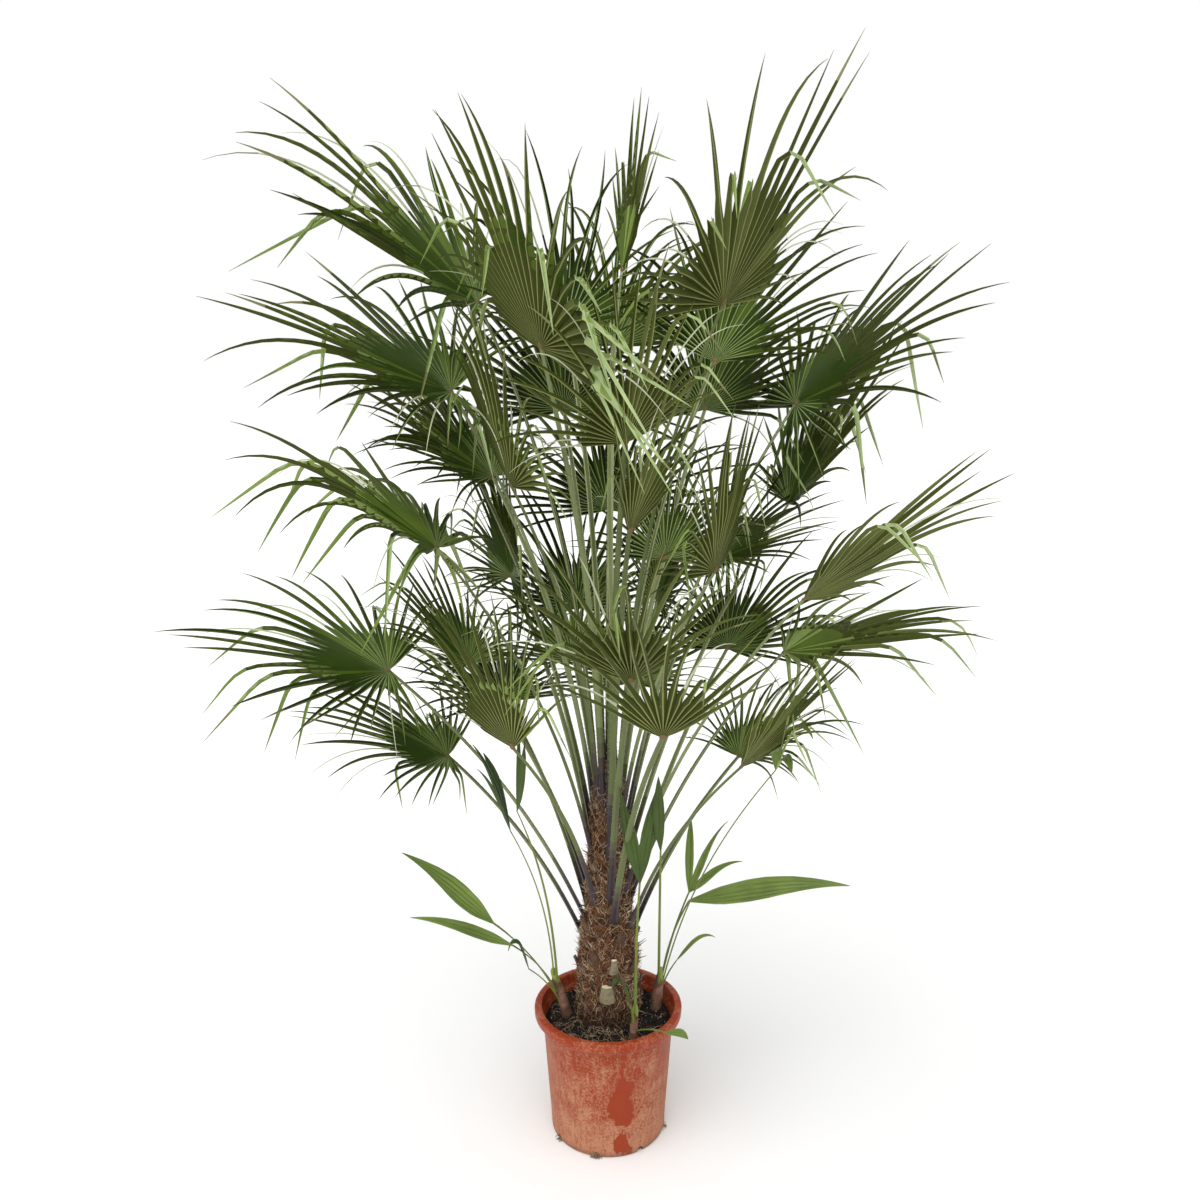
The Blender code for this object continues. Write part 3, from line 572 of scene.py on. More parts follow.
STUB_SIDES = 10
# Two stubs that the photograph shows at the front, cut lately: one low and wide, a thin one above it.
# Turn in degrees, height, length and half width
FRESH_CUTS = ((268, 0.066, 0.040, 0.0150), (280, 0.128, 0.036, 0.0085))
BOOT_LEAN = math.radians(24)
FIBRE_COUNT = 5200
FIBRE_TOP = 0.56
FIBRE_LENGTH, FIBRE_RADIUS = (0.012, 0.036), (0.00028, 0.00060)
CLOSE_LIFT, LOOSE_LIFT = (0.0005, 0.0040), (0.004, 0.010)
CLOSE_FIBRES = 0.85
COAT_LOWEST, COAT_HIGHEST = 0.004, 0.57
SPIKE_COUNT = 900
SPIKES_BETWEEN = (0.02, 0.40)
SHORT_SPIKE, LONG_SPIKE = (0.006, 0.014), (0.014, 0.030)
SPIKE_RADIUS = (0.0006, 0.0022)
# How many strands are rust, tan and dark
FIBRE_TONES, SPIKE_TONES = (36, 42, 22), (26, 46, 28)
DAMP_BELOW = TRUNK_FOOT + 0.07
draw = random.Random(23)


def stepped(table, share):
    """Reads a table of (share, value) pairs, evenly between its rows."""
    if share <= table[0][0]:
        return table[0][1]
    for (low, first), (high, second) in zip(table, table[1:]):
        if share <= high:
            return first + (second - first) * (share - low) / (high - low)
    return table[-1][1]


def trunk_radius(above_foot):
    """The trunk's radius at a height above its foot."""
    return stepped(TRUNK_PROFILE, above_foot)


def coat_relief(turn, above_foot):
    """How far the fibre coat stands out: old leaf bases overlap like scales, under a rough felt."""
    spiral = turn / math.tau * SCALES_ROUND + above_foot / SCALE_PITCH
    scale = spiral - math.floor(spiral)
    around = about_axis(0.06, turn, above_foot)
    felt = noise.noise(around / FINE_FELT) * FINE_DEPTH + noise.noise(around / COARSE_FELT) * COARSE_DEPTH
    return SCALE_HEIGHT * (scale ** 1.6) + felt - COAT_INSET


def coat_point(turn, height, stand, relief=1.0):
    """A point on the coat, or a little off it."""
    radius = trunk_radius(height) + coat_relief(turn, height) * relief + stand
    return about_axis(radius, turn, TRUNK_FOOT - COAT_SUNK + height)


def trunk_coat():
    """The coat as a closed relief mesh, flat on the soil and smooth at its top."""
    gathered = Gathered()
    rings = []
    top = TRUNK_PROFILE[-1][0]
    for row in range(TRUNK_ROWS + 1):
        height = top * row / TRUNK_ROWS
        relief = min(1.0, (top - height) / 0.1)
        turns = [math.tau * side / TRUNK_SIDES for side in range(TRUNK_SIDES)]
        rings.append([coat_point(turn, height, 0.0, relief) for turn in turns])
    gathered.sweep(rings, [0] * TRUNK_SIDES)
    return gathered.mesh("trunk_fibre_coat", sharp=50)


def boot_places():
    """Foot and end of each stub, climbing the trunk by the golden angle."""
    for number in range(BOOT_COUNT):
        share = number / (BOOT_COUNT - 1)
        height = BOOT_LOWEST + (BOOT_HIGHEST - BOOT_LOWEST) * share
        out = about_axis(1.0, number * GOLDEN_ANGLE)
        foot = out * (trunk_radius(height) - BOOT_RADIUS) + UP * (TRUNK_FOOT + height)
        yield out, foot, foot + (UP * math.cos(BOOT_LEAN) + out * math.sin(BOOT_LEAN)) * BOOT_LENGTH


def cut_stub(gathered, out, foot, end, wide, skin, cut):
    """A petiole cut off short: wide and flat, rounded behind, with the cut across its end."""
    heading = (end - foot).normalized()
    across = out.cross(heading).normalized()
    normal = heading.cross(across)
    rings, slots = [], []
    for step, share in enumerate(STUB_STATIONS):
        size = wide * (BOOT_FLARE + (BOOT_TAPER - BOOT_FLARE) * share)
        if step == len(STUB_STATIONS) - 1:
            size *= CUT_BEVEL
        ring = []
        for corner in range(STUB_SIDES):
            angle = math.tau * corner / STUB_SIDES
            lobe = Vector((math.cos(angle), math.sin(angle) * (0.62 if math.sin(angle) > 0 else 0.40)))
            rough = 1 + noise.noise(foot * 90 + Vector((lobe.x, lobe.y, share * 3)) * 2) * 0.18
            ring.append(foot.lerp(end, share) + (across * lobe.x + normal * lobe.y) * size * rough)
        rings.append(ring)
        slots.append([cut if step >= len(STUB_STATIONS) - 2 else skin] * STUB_SIDES)
    gathered.sweep(rings, slots)


# Leaf-base fibre: rusty brown felt, darker in its folds and where the soil keeps it damp. Fresh cuts:
# cream wood. Old ones: dark horn
coat_felt = fibrous_finish("leaf_base_felt", "#150c06", "#744a2d", 0.0035, 0.95, DAMP_BELOW)
rust_fibre = fibrous_finish("leaf_base_fibre_rust", "#5a341b", "#b0764a", 0.004, 0.85, DAMP_BELOW)
tan_fibre = fibrous_finish("leaf_base_fibre_tan", "#83694b", "#e2cfae", 0.004, 0.8, DAMP_BELOW)
dark_fibre = fibrous_finish("leaf_base_fibre_dark", "#1f130c", "#432c1c", 0.004, 0.85)
old_stub = fibrous_finish("old_petiole_stub", "#38271a", "#6b4d36", 0.006, 0.75)
grey_stub = fibrous_finish("weathered_petiole_stub", "#6a6148", "#9a9272", 0.008, 0.7)
cut_wood = fibrous_finish("fresh_cut_petiole", "#c9bfa0", "#efe8d2", 0.003, 0.8)

trunk_coat_piece = as_object("trunk_fibre_coat", trunk_coat(), [coat_felt])
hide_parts("trunk")

stubs = Gathered()
for out, foot, end in boot_places():
    cut_stub(stubs, out, foot, end, BOOT_RADIUS * 0.85, 0, 0)
for turn, height, length, wide in FRESH_CUTS:
    out = about_axis(1.0, math.radians(turn))
    foot = out * (trunk_radius(height) - 0.002) + UP * (TRUNK_FOOT + height)
    cut_stub(stubs, out, foot, foot + (UP * 0.97 + out * 0.24) * length, wide, 1, 2)
stub_mesh = stubs.mesh("trunk_cut_stubs", sharp=35)
trunk_stubs = as_object("trunk_cut_stubs", stub_mesh, [old_stub, grey_stub, cut_wood])

fibres = [rust_fibre, tan_fibre, dark_fibre]
felt = Gathered()
for _ in range(FIBRE_COUNT):
    height = FIBRE_TOP * draw.random() ** 1.15
    turn = draw.uniform(0, math.tau)
    slant = draw.choice((-1, 1)) * draw.uniform(0.15, 1.1)
    length = draw.uniform(*FIBRE_LENGTH)
    lift = draw.uniform(*(CLOSE_LIFT if draw.random() < CLOSE_FIBRES else LOOSE_LIFT))
    curl = draw.gauss(0, 0.5)
    route = []
    for step in range(5):
        share = step / 4
        angle = slant + curl * (share - 0.5)
        up = height + length * share * math.cos(angle)
        round_it = turn + length * share * math.sin(angle) / trunk_radius(height)
        stand = 0.0006 + lift * math.sin(math.pi * (0.15 + 0.75 * share))
        route.append(coat_point(round_it, min(max(up, COAT_LOWEST), COAT_HIGHEST), stand))
    radius, tone = draw.uniform(*FIBRE_RADIUS), draw.choices((0, 1, 2), FIBRE_TONES)[0]
    strand(felt, route, radius, 3, tone, tip=0.5)
fibre_strands = as_object("trunk_fibre_strands", felt.mesh("trunk_fibre_strands"), fibres)

# Broken leaf-base edges bristle out of the coat as short spikes
bristle = Gathered()
for _ in range(SPIKE_COUNT):
    height = draw.uniform(*SPIKES_BETWEEN)
    turn = draw.uniform(0, math.tau)
    out = about_axis(1.0, turn)
    point = coat_point(turn, height, -0.002)
    heading = (out * draw.uniform(0.35, 1.0) + UP * draw.uniform(0.1, 1.0)
               + Vector((draw.gauss(0, 0.25), draw.gauss(0, 0.25), 0))).normalized()
    length = draw.uniform(*(SHORT_SPIKE if draw.random() < 0.5 else LONG_SPIKE))
    route = [point]
    for _ in range(3):
        heading = (heading + UP * draw.gauss(0.10, 0.25)).normalized()
        point = point + heading * length / 3
        route.append(point)
    radius, tone = draw.uniform(*SPIKE_RADIUS), draw.choices((0, 1, 2), SPIKE_TONES)[0]
    strand(bristle, route, radius, 4, tone, tip=0.12)
trunk_bristles = as_object("trunk_bristles", bristle.mesh("trunk_bristles", sharp=60), fibres)
for piece in (trunk_coat_piece, trunk_stubs, fibre_strands, trunk_bristles):
    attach(piece, "root")

# Petioles: the stalks of the fronds, tough and green, flat above and round below, with a row of
# short pale spines along each edge. Their feet are dark and glossy, and are wrapped in fibre.
FOOT_LOWEST = 0.150
FOOT_HIGHEST = 0.530
FOOT_DEPTH = 0.80
PETIOLE_RADII = (0.0078, 0.0046)
PETIOLE_ARCH = math.radians(13)
PETIOLE_HANDLE = 0.36
STEEPEST = math.radians(87)
PETIOLE_STEPS = 30
PETIOLE_SHAPE = (
    (1.00, 0.22), (0.60, 0.36), (0.0, 0.24), (-0.60, 0.36),
    (-1.00, 0.22), (-0.72, -0.34), (0.0, -0.66), (0.72, -0.34),
)
PETIOLE_FLARE, FLARED_BY = 0.060, 0.75
FLAT_SIDE_LEAN = 0.35
TURNS_TO_BLADE_FROM = 0.72
SPINE_PITCH = 0.013
SPINE_LENGTH, SPINE_RADIUS = 0.0042, 0.00062
SPINES_FROM, SPINES_STOP_SHORT = 0.07, 0.02
DARK_FOOT, TONE_LENGTH = (0.05, 0.10), 0.022
BLADE_CUP = 14.0
VEINS_ACROSS, VEIN_LENGTH = 22.0, 0.05
CLOUD_SIZE = 0.09
draw = random.Random(37)


class Frond(NamedTuple):
    """One fan frond. Azimuth, reach and height place its hub, where the petiole meets the blade.

    Bearing, rise and roll turn the blade: where its middle leaflet points, and how far the blade
    is rolled about it. Cup lifts its leaflets out of the blade's plane, like the ribs of a bowl.
    Angles are in degrees, azimuth and bearing from +X towards +Y.
    """

    azimuth: float
    reach: float
    height: float
    bearing: float
    rise: float
    roll: float
    blade: float
    spread: float
    droop: float
    cup: float = BLADE_CUP


# The crown, from the top down
CROWN = (
    Frond(62, 0.057, 1.831, 23, 77, 4, 0.34, 80, 0.15, 6),
    Frond(154, 0.298, 1.779, 190, 32, 26, 0.55, 200, 0.50),
    Frond(330, 0.242, 1.751, 303, 58, -18, 0.42, 190, 0.45, 6),
    Frond(118, 0.190, 1.730, 118, 66, 0, 0.40, 170, 0.40),
    Frond(88, 0.300, 1.700, 85, 52, 0, 0.42, 200, 0.60),
    Frond(247, 0.293, 1.666, 254, 49, 40, 0.43, 200, 0.50, 6),
    Frond(32, 0.260, 1.660, 40, 56, -20, 0.40, 170, 0.50),
    Frond(171, 0.319, 1.598, 189, 14, 24, 0.46, 230, 0.50),
    Frond(17, 0.406, 1.573, 350, 40, -22, 0.45, 240, 0.35, 5),
    Frond(105, 0.400, 1.560, 105, 58, 0, 0.45, 230, 0.50),
    Frond(58, 0.420, 1.560, 58, 52, 0, 0.45, 230, 0.60),
    Frond(276, 0.282, 1.507, 277, 55, -25, 0.33, 170, 0.35, 10),
    Frond(138, 0.420, 1.444, 186, 31, 20, 0.33, 240, 0.40),
    Frond(276, 0.340, 1.360, 340, 60, 22, 0.28, 90, 0.25),
    Frond(32, 0.477, 1.355, 5, 52, -3, 0.46, 190, 0.30),
    Frond(146, 0.300, 1.420, 154, 35, 10, 0.34, 220, 0.80),
    Frond(90, 0.450, 1.320, 90, 56, 0, 0.42, 220, 0.50),
    Frond(194, 0.341, 1.300, 185, 31, 3, 0.46, 220, 0.75, 8),
    Frond(39, 0.318, 1.238, 18, 26, -9, 0.30, 270, 0.35),
    Frond(334, 0.404, 1.215, 355, 30, 28, 0.42, 130, 0.35, 6),
    Frond(127, 0.374, 1.182, 0, 88, -29, 0.33, 240, 0.40),
    Frond(66, 0.273, 1.134, 0, 65, -23, 0.30, 200, 0.30),
    Frond(277, 0.333, 1.099, 257, 44, -8, 0.36, 120, 0.30, 10),
    Frond(100, 0.440, 1.080, 100, 50, 0, 0.38, 220, 0.50),
    Frond(12, 0.382, 1.054, 353, 11, -4, 0.42, 180, 0.35, 8),
    Frond(177, 0.458, 1.027, 185, 11, 16, 0.43, 230, 0.40, 12),
    Frond(283, 0.410, 1.019, 267, 45, -1, 0.35, 104, 0.30, 8),
    Frond(154, 0.341, 1.014, 149, 41, -5, 0.31, 220, 0.35),
    Frond(50, 0.440, 1.000, 50, 42, 0, 0.38, 220, 0.60),
    Frond(228, 0.269, 0.934, 205, 61, -26, 0.34, 130, 0.30, 10),
    Frond(82, 0.400, 0.900, 82, 42, 0, 0.36, 220, 0.50),
    Frond(128, 0.400, 0.880, 128, 36, 0, 0.34, 220, 0.60),
    Frond(335, 0.288, 0.868, 9, 39, 43, 0.31, 120, 0.25, 8),
    Frond(167, 0.357, 0.822, 185, 11, 11, 0.34, 220, 0.40),
    Frond(30, 0.340, 0.790, 30, 26, 0, 0.30, 200, 0.70),
    # Small fans deep in the crown, which fill it between the petioles
    Frond(53, 0.204, 1.241, 56, 59, 0, 0.32, 200, 0.50),
    Frond(215, 0.220, 1.420, 200, 60, 0, 0.34, 200, 0.50),
    Frond(112, 0.206, 1.008, 113, 50, 0, 0.30, 200, 0.50),
    Frond(329, 0.237, 1.259, 333, 66, 0, 0.32, 200, 0.50),
)


def blade_axes(bearing, rise, roll):
    """Directions of a blade: along its middle leaflet, out of its upper side, and across it."""
    turn, lift, bank = map(math.radians, (bearing, rise, roll))
    out = about_axis(1.0, turn)
    along = out * math.cos(lift) + UP * math.sin(lift)
    normal = UP * math.cos(lift) - out * math.sin(lift)
    normal = normal * math.cos(bank) + normal.cross(along) * math.sin(bank)
    return along, normal, normal.cross(along)


def frond_hub(frond):
    """Where a petiole meets its blade."""
    return about_axis(frond.reach, math.radians(frond.azimuth), frond.height)


def frond_feet():
    """Where each petiole starts inside the trunk: the steeper a frond stands, the higher it starts."""
    middle = TRUNK_FOOT + (FOOT_LOWEST + FOOT_HIGHEST) / 2
    steepness = [math.atan2(frond.height - middle, frond.reach) for frond in CROWN]
    order = sorted(range(len(CROWN)), key=lambda number: steepness[number])
    feet = [None] * len(CROWN)
    for rank, number in enumerate(order):
        height = FOOT_LOWEST + (FOOT_HIGHEST - FOOT_LOWEST) * rank / (len(CROWN) - 1)
        out = about_axis(1.0, math.radians(CROWN[number].azimuth))
        feet[number] = out * (trunk_radius(height) * FOOT_DEPTH) + UP * (TRUNK_FOOT + height)
    return feet


def petiole_route(foot, hub, steps):
    """Points and headings of a stalk that leaves its foot steeply and arches over to its hub."""
    chord = hub - foot
    level = level_part(chord)
    slope = math.atan2(chord.z, level.length)
    out = level.normalized()
    handle = chord.length * PETIOLE_HANDLE
    start_slope = min(slope + PETIOLE_ARCH, max(STEEPEST, slope))
    end_slope = slope - PETIOLE_ARCH
    first = foot + (out * math.cos(start_slope) + UP * math.sin(start_slope)) * handle
    last = hub - (out * math.cos(end_slope) + UP * math.sin(end_slope)) * handle
    route = []
    for step in range(steps + 1):
        t = step / steps
        s = 1 - t
        point = foot * s**3 + first * 3 * s * s * t + last * 3 * s * t * t + hub * t**3
        heading = (first - foot) * s * s + (last - first) * 2 * s * t + (hub - last) * t * t
        route.append((point, heading.normalized()))
    return route


def stalk(gathered, route, radii, normal_at_hub, slots, flare=0.0):
    """A stalk of the petiole's section along a route. Returns its frames for the spines to stand on."""
    length, before = 0.0, route[0][0]
    lengths, rings, frames = [], [], []
    level = level_part(route[-1][0] - route[0][0]).normalized()
    for number, (point, heading) in enumerate(route):
        share = number / (len(route) - 1)
        length += (point - before).length
        before = point
        normal = UP * FLAT_SIDE_LEAN - level
        turned_in = max(0.0, (share - TURNS_TO_BLADE_FROM) / (1 - TURNS_TO_BLADE_FROM)) ** 1.5
        normal = normal.normalized().lerp(normal_at_hub, turned_in)
        normal = (normal - heading * normal.dot(heading)).normalized()
        across = normal.cross(heading)
        size = radii[0] + (radii[1] - radii[0]) * share
        wide = size * (1 + flare * max(0.0, 1 - length / PETIOLE_FLARE))
        rings.append([point + across * wide * x + normal * size * y for x, y in PETIOLE_SHAPE])
        lengths.append(length)
        frames.append((point, heading, across, normal, wide, length))
    gathered.sweep(rings, slots, lengths)
    return frames


def spine_row(gathered, frames, start, end):
    """Spines on both edges of a petiole, leaning towards its blade."""
    for edge in (-1, 1):
        mark = start + draw.uniform(0, SPINE_PITCH)
        for here, after in zip(frames, frames[1:]):
            point, heading, across, normal, wide, length = here
            after_point, after_length = after[0], after[-1]
            while length <= mark < after_length and mark <= end:
                share = (mark - length) / (after_length - length)
                root = point.lerp(after_point, share) + across * edge * wide * 0.94 + normal * wide * 0.2
                lean = (across * edge * 0.8 + heading * draw.uniform(0.35, 1.0)).normalized()
                tip = root + lean * (SPINE_LENGTH * draw.uniform(0.5, 1.3))
                ring = round_ring(root, (tip - root).normalized(), SPINE_RADIUS, 3)
                gathered.sweep([ring, [tip.lerp(corner, 0.08) for corner in ring]], [0] * 3)
                mark += SPINE_PITCH * draw.uniform(0.5, 1.7)


def plant_finish(name, colour, roughness, sheen_of_wax=0.5, vary=0.10):
    """A waxy green plant skin: fine veins run along it, drawn from the map that follows the piece."""
    made, tree, shader = new_finish(name, IOR=1.45, Specular_IOR_Level=sheen_of_wax)
    along = add_node(tree, "UVMap", uv_map="along")
    run = add_node(tree, "Mapping", {"Vector": along, "Scale": (VEINS_ACROSS, 1 / VEIN_LENGTH, 1.0)})
    vein = add_node(tree, "TexNoise", {"Vector": run, "Scale": 1.0, "Detail": 3.0, "Roughness": 0.6})
    place = add_node(tree, "TexCoord").outputs["Object"]
    cloud = add_node(tree, "TexNoise", {"Vector": place, "Scale": 1 / CLOUD_SIZE, "Detail": 3.0})
    both = add_node(tree, "Math", {0: vein, 1: 0.6, 2: cloud}, operation="MULTIPLY_ADD")
    value = add_node(tree, "MapRange", {"Value": both, "From Min": 0.5, "From Max": 1.1,
                                        "To Min": 1 - vary * 2, "To Max": 1 + vary * 2})
    tone = add_node(tree, "HueSaturation", {"Value": value, "Color": linear(colour)})
    gloss = add_node(tree, "MapRange", {"Value": cloud, "From Min": 0.3, "From Max": 0.7,
                                        "To Min": roughness - 0.06, "To Max": roughness + 0.08})
    bump = add_node(tree, "Bump", {"Strength": 0.25, "Distance": 0.00064, "Height": vein})
    wire(tree, shader, {"Base Color": tone, "Roughness": gloss, "Normal": bump})
    return made


# Petiole skin: smooth and waxy, grey-green above, purple-brown and shiny at its foot
petiole_skins = [
    plant_finish("petiole_foot_skin", "#33252a", 0.38),
    plant_finish("petiole_low_skin", "#3f342f", 0.40),
    plant_finish("petiole_lower_skin", "#4b4536", 0.42),
    plant_finish("petiole_middle_skin", "#585739", 0.44),
    plant_finish("petiole_skin", "#616c3b", 0.45),
    plant_finish("petiole_pale_skin", "#7f8a58", 0.45),
    plant_finish("petiole_margin_skin", "#a0a679", 0.45),
]
spine_horn = plant_finish("spine_horn", "#a9ab80", 0.5)

petioles, spines = Gathered(), Gathered()
for frond, foot in zip(CROWN, frond_feet()):
    hub = frond_hub(frond)
    axes_of_blade = blade_axes(frond.bearing, frond.rise, frond.roll)
    route = petiole_route(foot, hub, PETIOLE_STEPS)
    span = sum((after[0] - before[0]).length for before, after in zip(route, route[1:]))
    green = draw.choice((4, 4, 5))
    dark_until = draw.uniform(*DARK_FOOT)
    slots = []
    for step in range(PETIOLE_STEPS):
        tone = max(0, math.ceil((span * step / PETIOLE_STEPS - dark_until) / TONE_LENGTH))
        skin = min(tone, green)
        margin = tone if tone < 5 else 6
        slots.append([margin, skin, skin, margin, skin, skin, skin, skin])
    frames = stalk(petioles, route, PETIOLE_RADII, axes_of_blade[1], slots, flare=FLARED_BY)
    spine_row(spines, frames, SPINES_FROM, span - SPINES_STOP_SHORT)
crown_petioles = as_object("crown_petioles", petioles.mesh("crown_petioles", sharp=70), petiole_skins)
crown_spines = as_object("petiole_spines", spines.mesh("petiole_spines"), [spine_horn])
for piece in (crown_petioles, crown_spines):
    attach(piece, "root")

# Fan blades: stiff pleated leaves, dark and glossy above, duller olive below with pale ribs. The
# leaflets are joined for the first third, fold into a V along their rib, and end in fine tips.
LEAFLET_PITCH = 7.0
LEAFLET_STEPS = 28
LEAFLET_STATIONS = (
    0.012, 0.10, 0.20, 0.30, 0.36, 0.42, 0.48, 0.54,
    0.60, 0.66, 0.72, 0.78, 0.84, 0.90, 0.96, 1.0,
)
LEAFLET_WIDTHS = (
    (0.30, 1.0), (0.42, 0.86), (0.58, 0.74), (0.74, 0.58),
    (0.87, 0.36), (0.95, 0.15), (1.0, 0.02),
)
WIDEST_AT = 0.36
LEAFLET_SIDE_LENGTH = 0.66
BEND_FROM = 0.34
BEND_POWER = 1.6
SAG = 1.35
TWIST = 0.45
SPLIT = (0.24, 0.38)
LONG_SPLIT = (0.36, 0.46)
LONG_WEBBED = (3, 6)
END_PARTS_AT, LEAST_SPLIT = 0.05, 0.22
FOLD_JOINED, FOLD_FREE = math.radians(40), math.radians(57)
LEAF_THICKNESS = 0.0009
RIB_HALF_WIDTH = 0.0011
KEEL = 1.6
FOLDS_OVER, PARTS_OVER = 0.14, 0.08
NEVER = 2.0
KINK_SHARE = 0.17
KINKS_BETWEEN = (0.40, 0.72)
KINK_BENDS_OVER, LIMPNESS = 0.18, 0.92
# A kinked leaflet turns to the painted highlight tint this far past its kink
HIGHLIGHT_AFTER_KINK = 0.05
THREAD_SHARE = 0.18
SHORT_SHARE = 0.12
STRETCH, SHORT_STRETCH = (0.90, 1.12), (0.60, 0.85)
OTHER_SHARE = 0.30
THREAD_FROM, THREAD_WIDTH = 0.12, 0.38
DRY_TIP_SHARE, TIP_FROM = 0.2, 0.83
HASTULA_SIZE = 0.010
draw = random.Random(53)

# Leaflets that the photograph shows snapped over, or longer than their neighbours
OWN_HABITS = {
    3: {8: dict(kink=0.50, kink_side=0.4), 10: dict(kink=0.55), 13: dict(stretch=1.1), 15: dict(stretch=1.1),
        16: dict(stretch=1.38, droop=0.3), 17: dict(stretch=1.3, droop=0.4),
        18: dict(kink=0.58, kink_side=-0.5), 19: dict(stretch=1.25)},
    6: {9: dict(kink=0.40, kink_side=0.5), 16: dict(kink=0.45), 19: dict(kink=0.50, kink_out=1.0),
        21: dict(kink=0.38, kink_out=1.5, stretch=1.3), 23: dict(kink=0.36, kink_out=0.9, stretch=1.3),
        24: dict(kink=0.42, kink_out=2.0, stretch=1.4), 26: dict(kink=0.36, kink_out=1.3, stretch=1.4),
        27: dict(kink=0.30, kink_out=2.2, stretch=1.5), 28: dict(kink=0.35, kink_out=0.7, stretch=1.2)},
    18: {2: dict(kink=0.22), 14: dict(kink=0.60), 16: dict(kink=0.54, kink_side=0.1), 18: dict(kink=0.52),
         20: dict(kink=0.46), 22: dict(kink=0.50, kink_side=-0.1), 24: dict(kink=0.38), 26: dict(kink=0.28)},
    23: {0: dict(kink=0.50), 2: dict(kink=0.42, kink_side=0.2)},
    25: {0: dict(kink=0.30), 1: dict(kink=0.40, kink_side=-0.3), 3: dict(kink=0.30, kink_side=0.3)},
    28: {3: dict(kink=0.42)},
}


class Habit(NamedTuple):
    """How one leaflet grows its own way once it parts from its neighbours.

    Stretch, droop, yaw and roll alter its run. At a share of its length it may kink: from there it
    hangs, out by kink_out and sideways by kink_side.
    """

    stretch: float = 1.0
    droop: float = 1.0
    yaw: float = 0.0
    roll: float = 0.0
    kink: float = NEVER
    kink_side: float = 0.0
    kink_out: float = 0.4


def leaflet_line(hub, axes, angle, length, droop, cup, part_at=1.0, habit=Habit()):
    """Centre points, sideways and heading directions of a leaflet that bends under its own weight."""
    along, normal, side = axes
    lift = math.radians(cup)
    start = (along * math.cos(angle) + side * math.sin(angle)) * math.cos(lift)
    start += normal * math.sin(lift)
    across = normal.cross(start).normalized()
    yawed = across
    point = hub.copy()
    line = [(point.copy(), across.copy(), start.normalized())]
    for step in range(LEAFLET_STEPS):
        share = (step + 0.5) / LEAFLET_STEPS
        own = max(0.0, (share - part_at) / (1 - part_at)) if part_at < 1 else 0.0
        bend = droop * (max(0.0, share - BEND_FROM) / (1 - BEND_FROM)) ** BEND_POWER
        bend *= 1 + (habit.droop - 1) * min(1.0, own * 3)
        heading = start - UP * bend * SAG + yawed * habit.yaw * own
        if share > habit.kink:
            hang = min(1.0, (share - habit.kink) / KINK_BENDS_OVER)
            limp = start * habit.kink_out - UP + yawed * habit.kink_side
            heading = heading.normalized().lerp(limp.normalized(), LIMPNESS * hang)
        heading.normalize()
        point += heading * (length / LEAFLET_STEPS) * (habit.stretch if own > 0 else 1.0)
        level = heading.cross(UP)
        if level.length > 0.2:
            level = level.normalized() * (1 if level.dot(across) > 0 else -1)
            across = across.lerp(level, TWIST * share * 10 / LEAFLET_STEPS)
        across = (across - heading * across.dot(heading)).normalized()
        if own > 0 and habit.roll:
            across.rotate(Matrix.Rotation(habit.roll / LEAFLET_STEPS, 3, heading))
        line.append((point.copy(), across.copy(), heading.copy()))
    return line


def on_line(line, share):
    """Point, sideways and heading directions at a share of a leaflet's length."""
    place = min(share, 1.0) * (len(line) - 1)
    low = min(int(place), len(line) - 2)
    blend = place - low
    return tuple(first.lerp(second, blend) for first, second in zip(line[low], line[low + 1]))


def leaflet_length(blade, angle, spread):
    """Leaflets shorten from the middle of the fan towards its two ends."""
    end = abs(angle) / math.radians(spread / 2)
    return blade * (1 - (1 - LEAFLET_SIDE_LENGTH) * end * end)


def eased(value):
    """0 to 1 with soft ends."""
    value = min(1.0, max(0.0, value))
    return value * value * (3 - 2 * value)


def leaflet(gathered, line, bounds, parts, width, length, skins, outer_from):
    """One folded leaflet as a closed strip: joined to its neighbours' edges, then free.

    Skins are the slots of its inner part, of its outer part, and of its tip.
    """
    inner, outer, tip = skins
    rings, row_slots, lengths = [], [], []
    for share in LEAFLET_STATIONS:
        centre, across, heading = on_line(line, share)
        normal = heading.cross(across).normalized()
        free = eased((share - min(parts)) / FOLDS_OVER)
        fold = FOLD_JOINED + (FOLD_FREE - FOLD_JOINED) * free
        flat = width * stepped(LEAFLET_WIDTHS, share) / 2
        edges = []
        for bound, part, way in zip(bounds, parts, (-1, 1)):
            own = centre + across * way * flat * math.cos(fold)
            joined = on_line(bound, share)[0]
            edges.append(joined.lerp(own, eased((share - part) / PARTS_OVER)))
        left, right = edges
        half = (right - left).length / 2
        sink = normal * (half * math.tan(fold))
        middle = left.lerp(right, 0.5)
        rib = across * min(RIB_HALF_WIDTH, half * 0.3)
        thick = normal * (LEAF_THICKNESS / 2 * (1 - 0.6 * share))
        rings.append([
            right, middle - sink + thick + rib, middle - sink + thick - rib,
            left, middle - sink - thick * KEEL - rib, middle - sink - thick * KEEL + rib,
        ])
        row_slots.append(tip if share >= TIP_FROM else outer if share >= outer_from else inner)
        lengths.append(share * length)
    gathered.sweep(rings, row_slots, lengths)


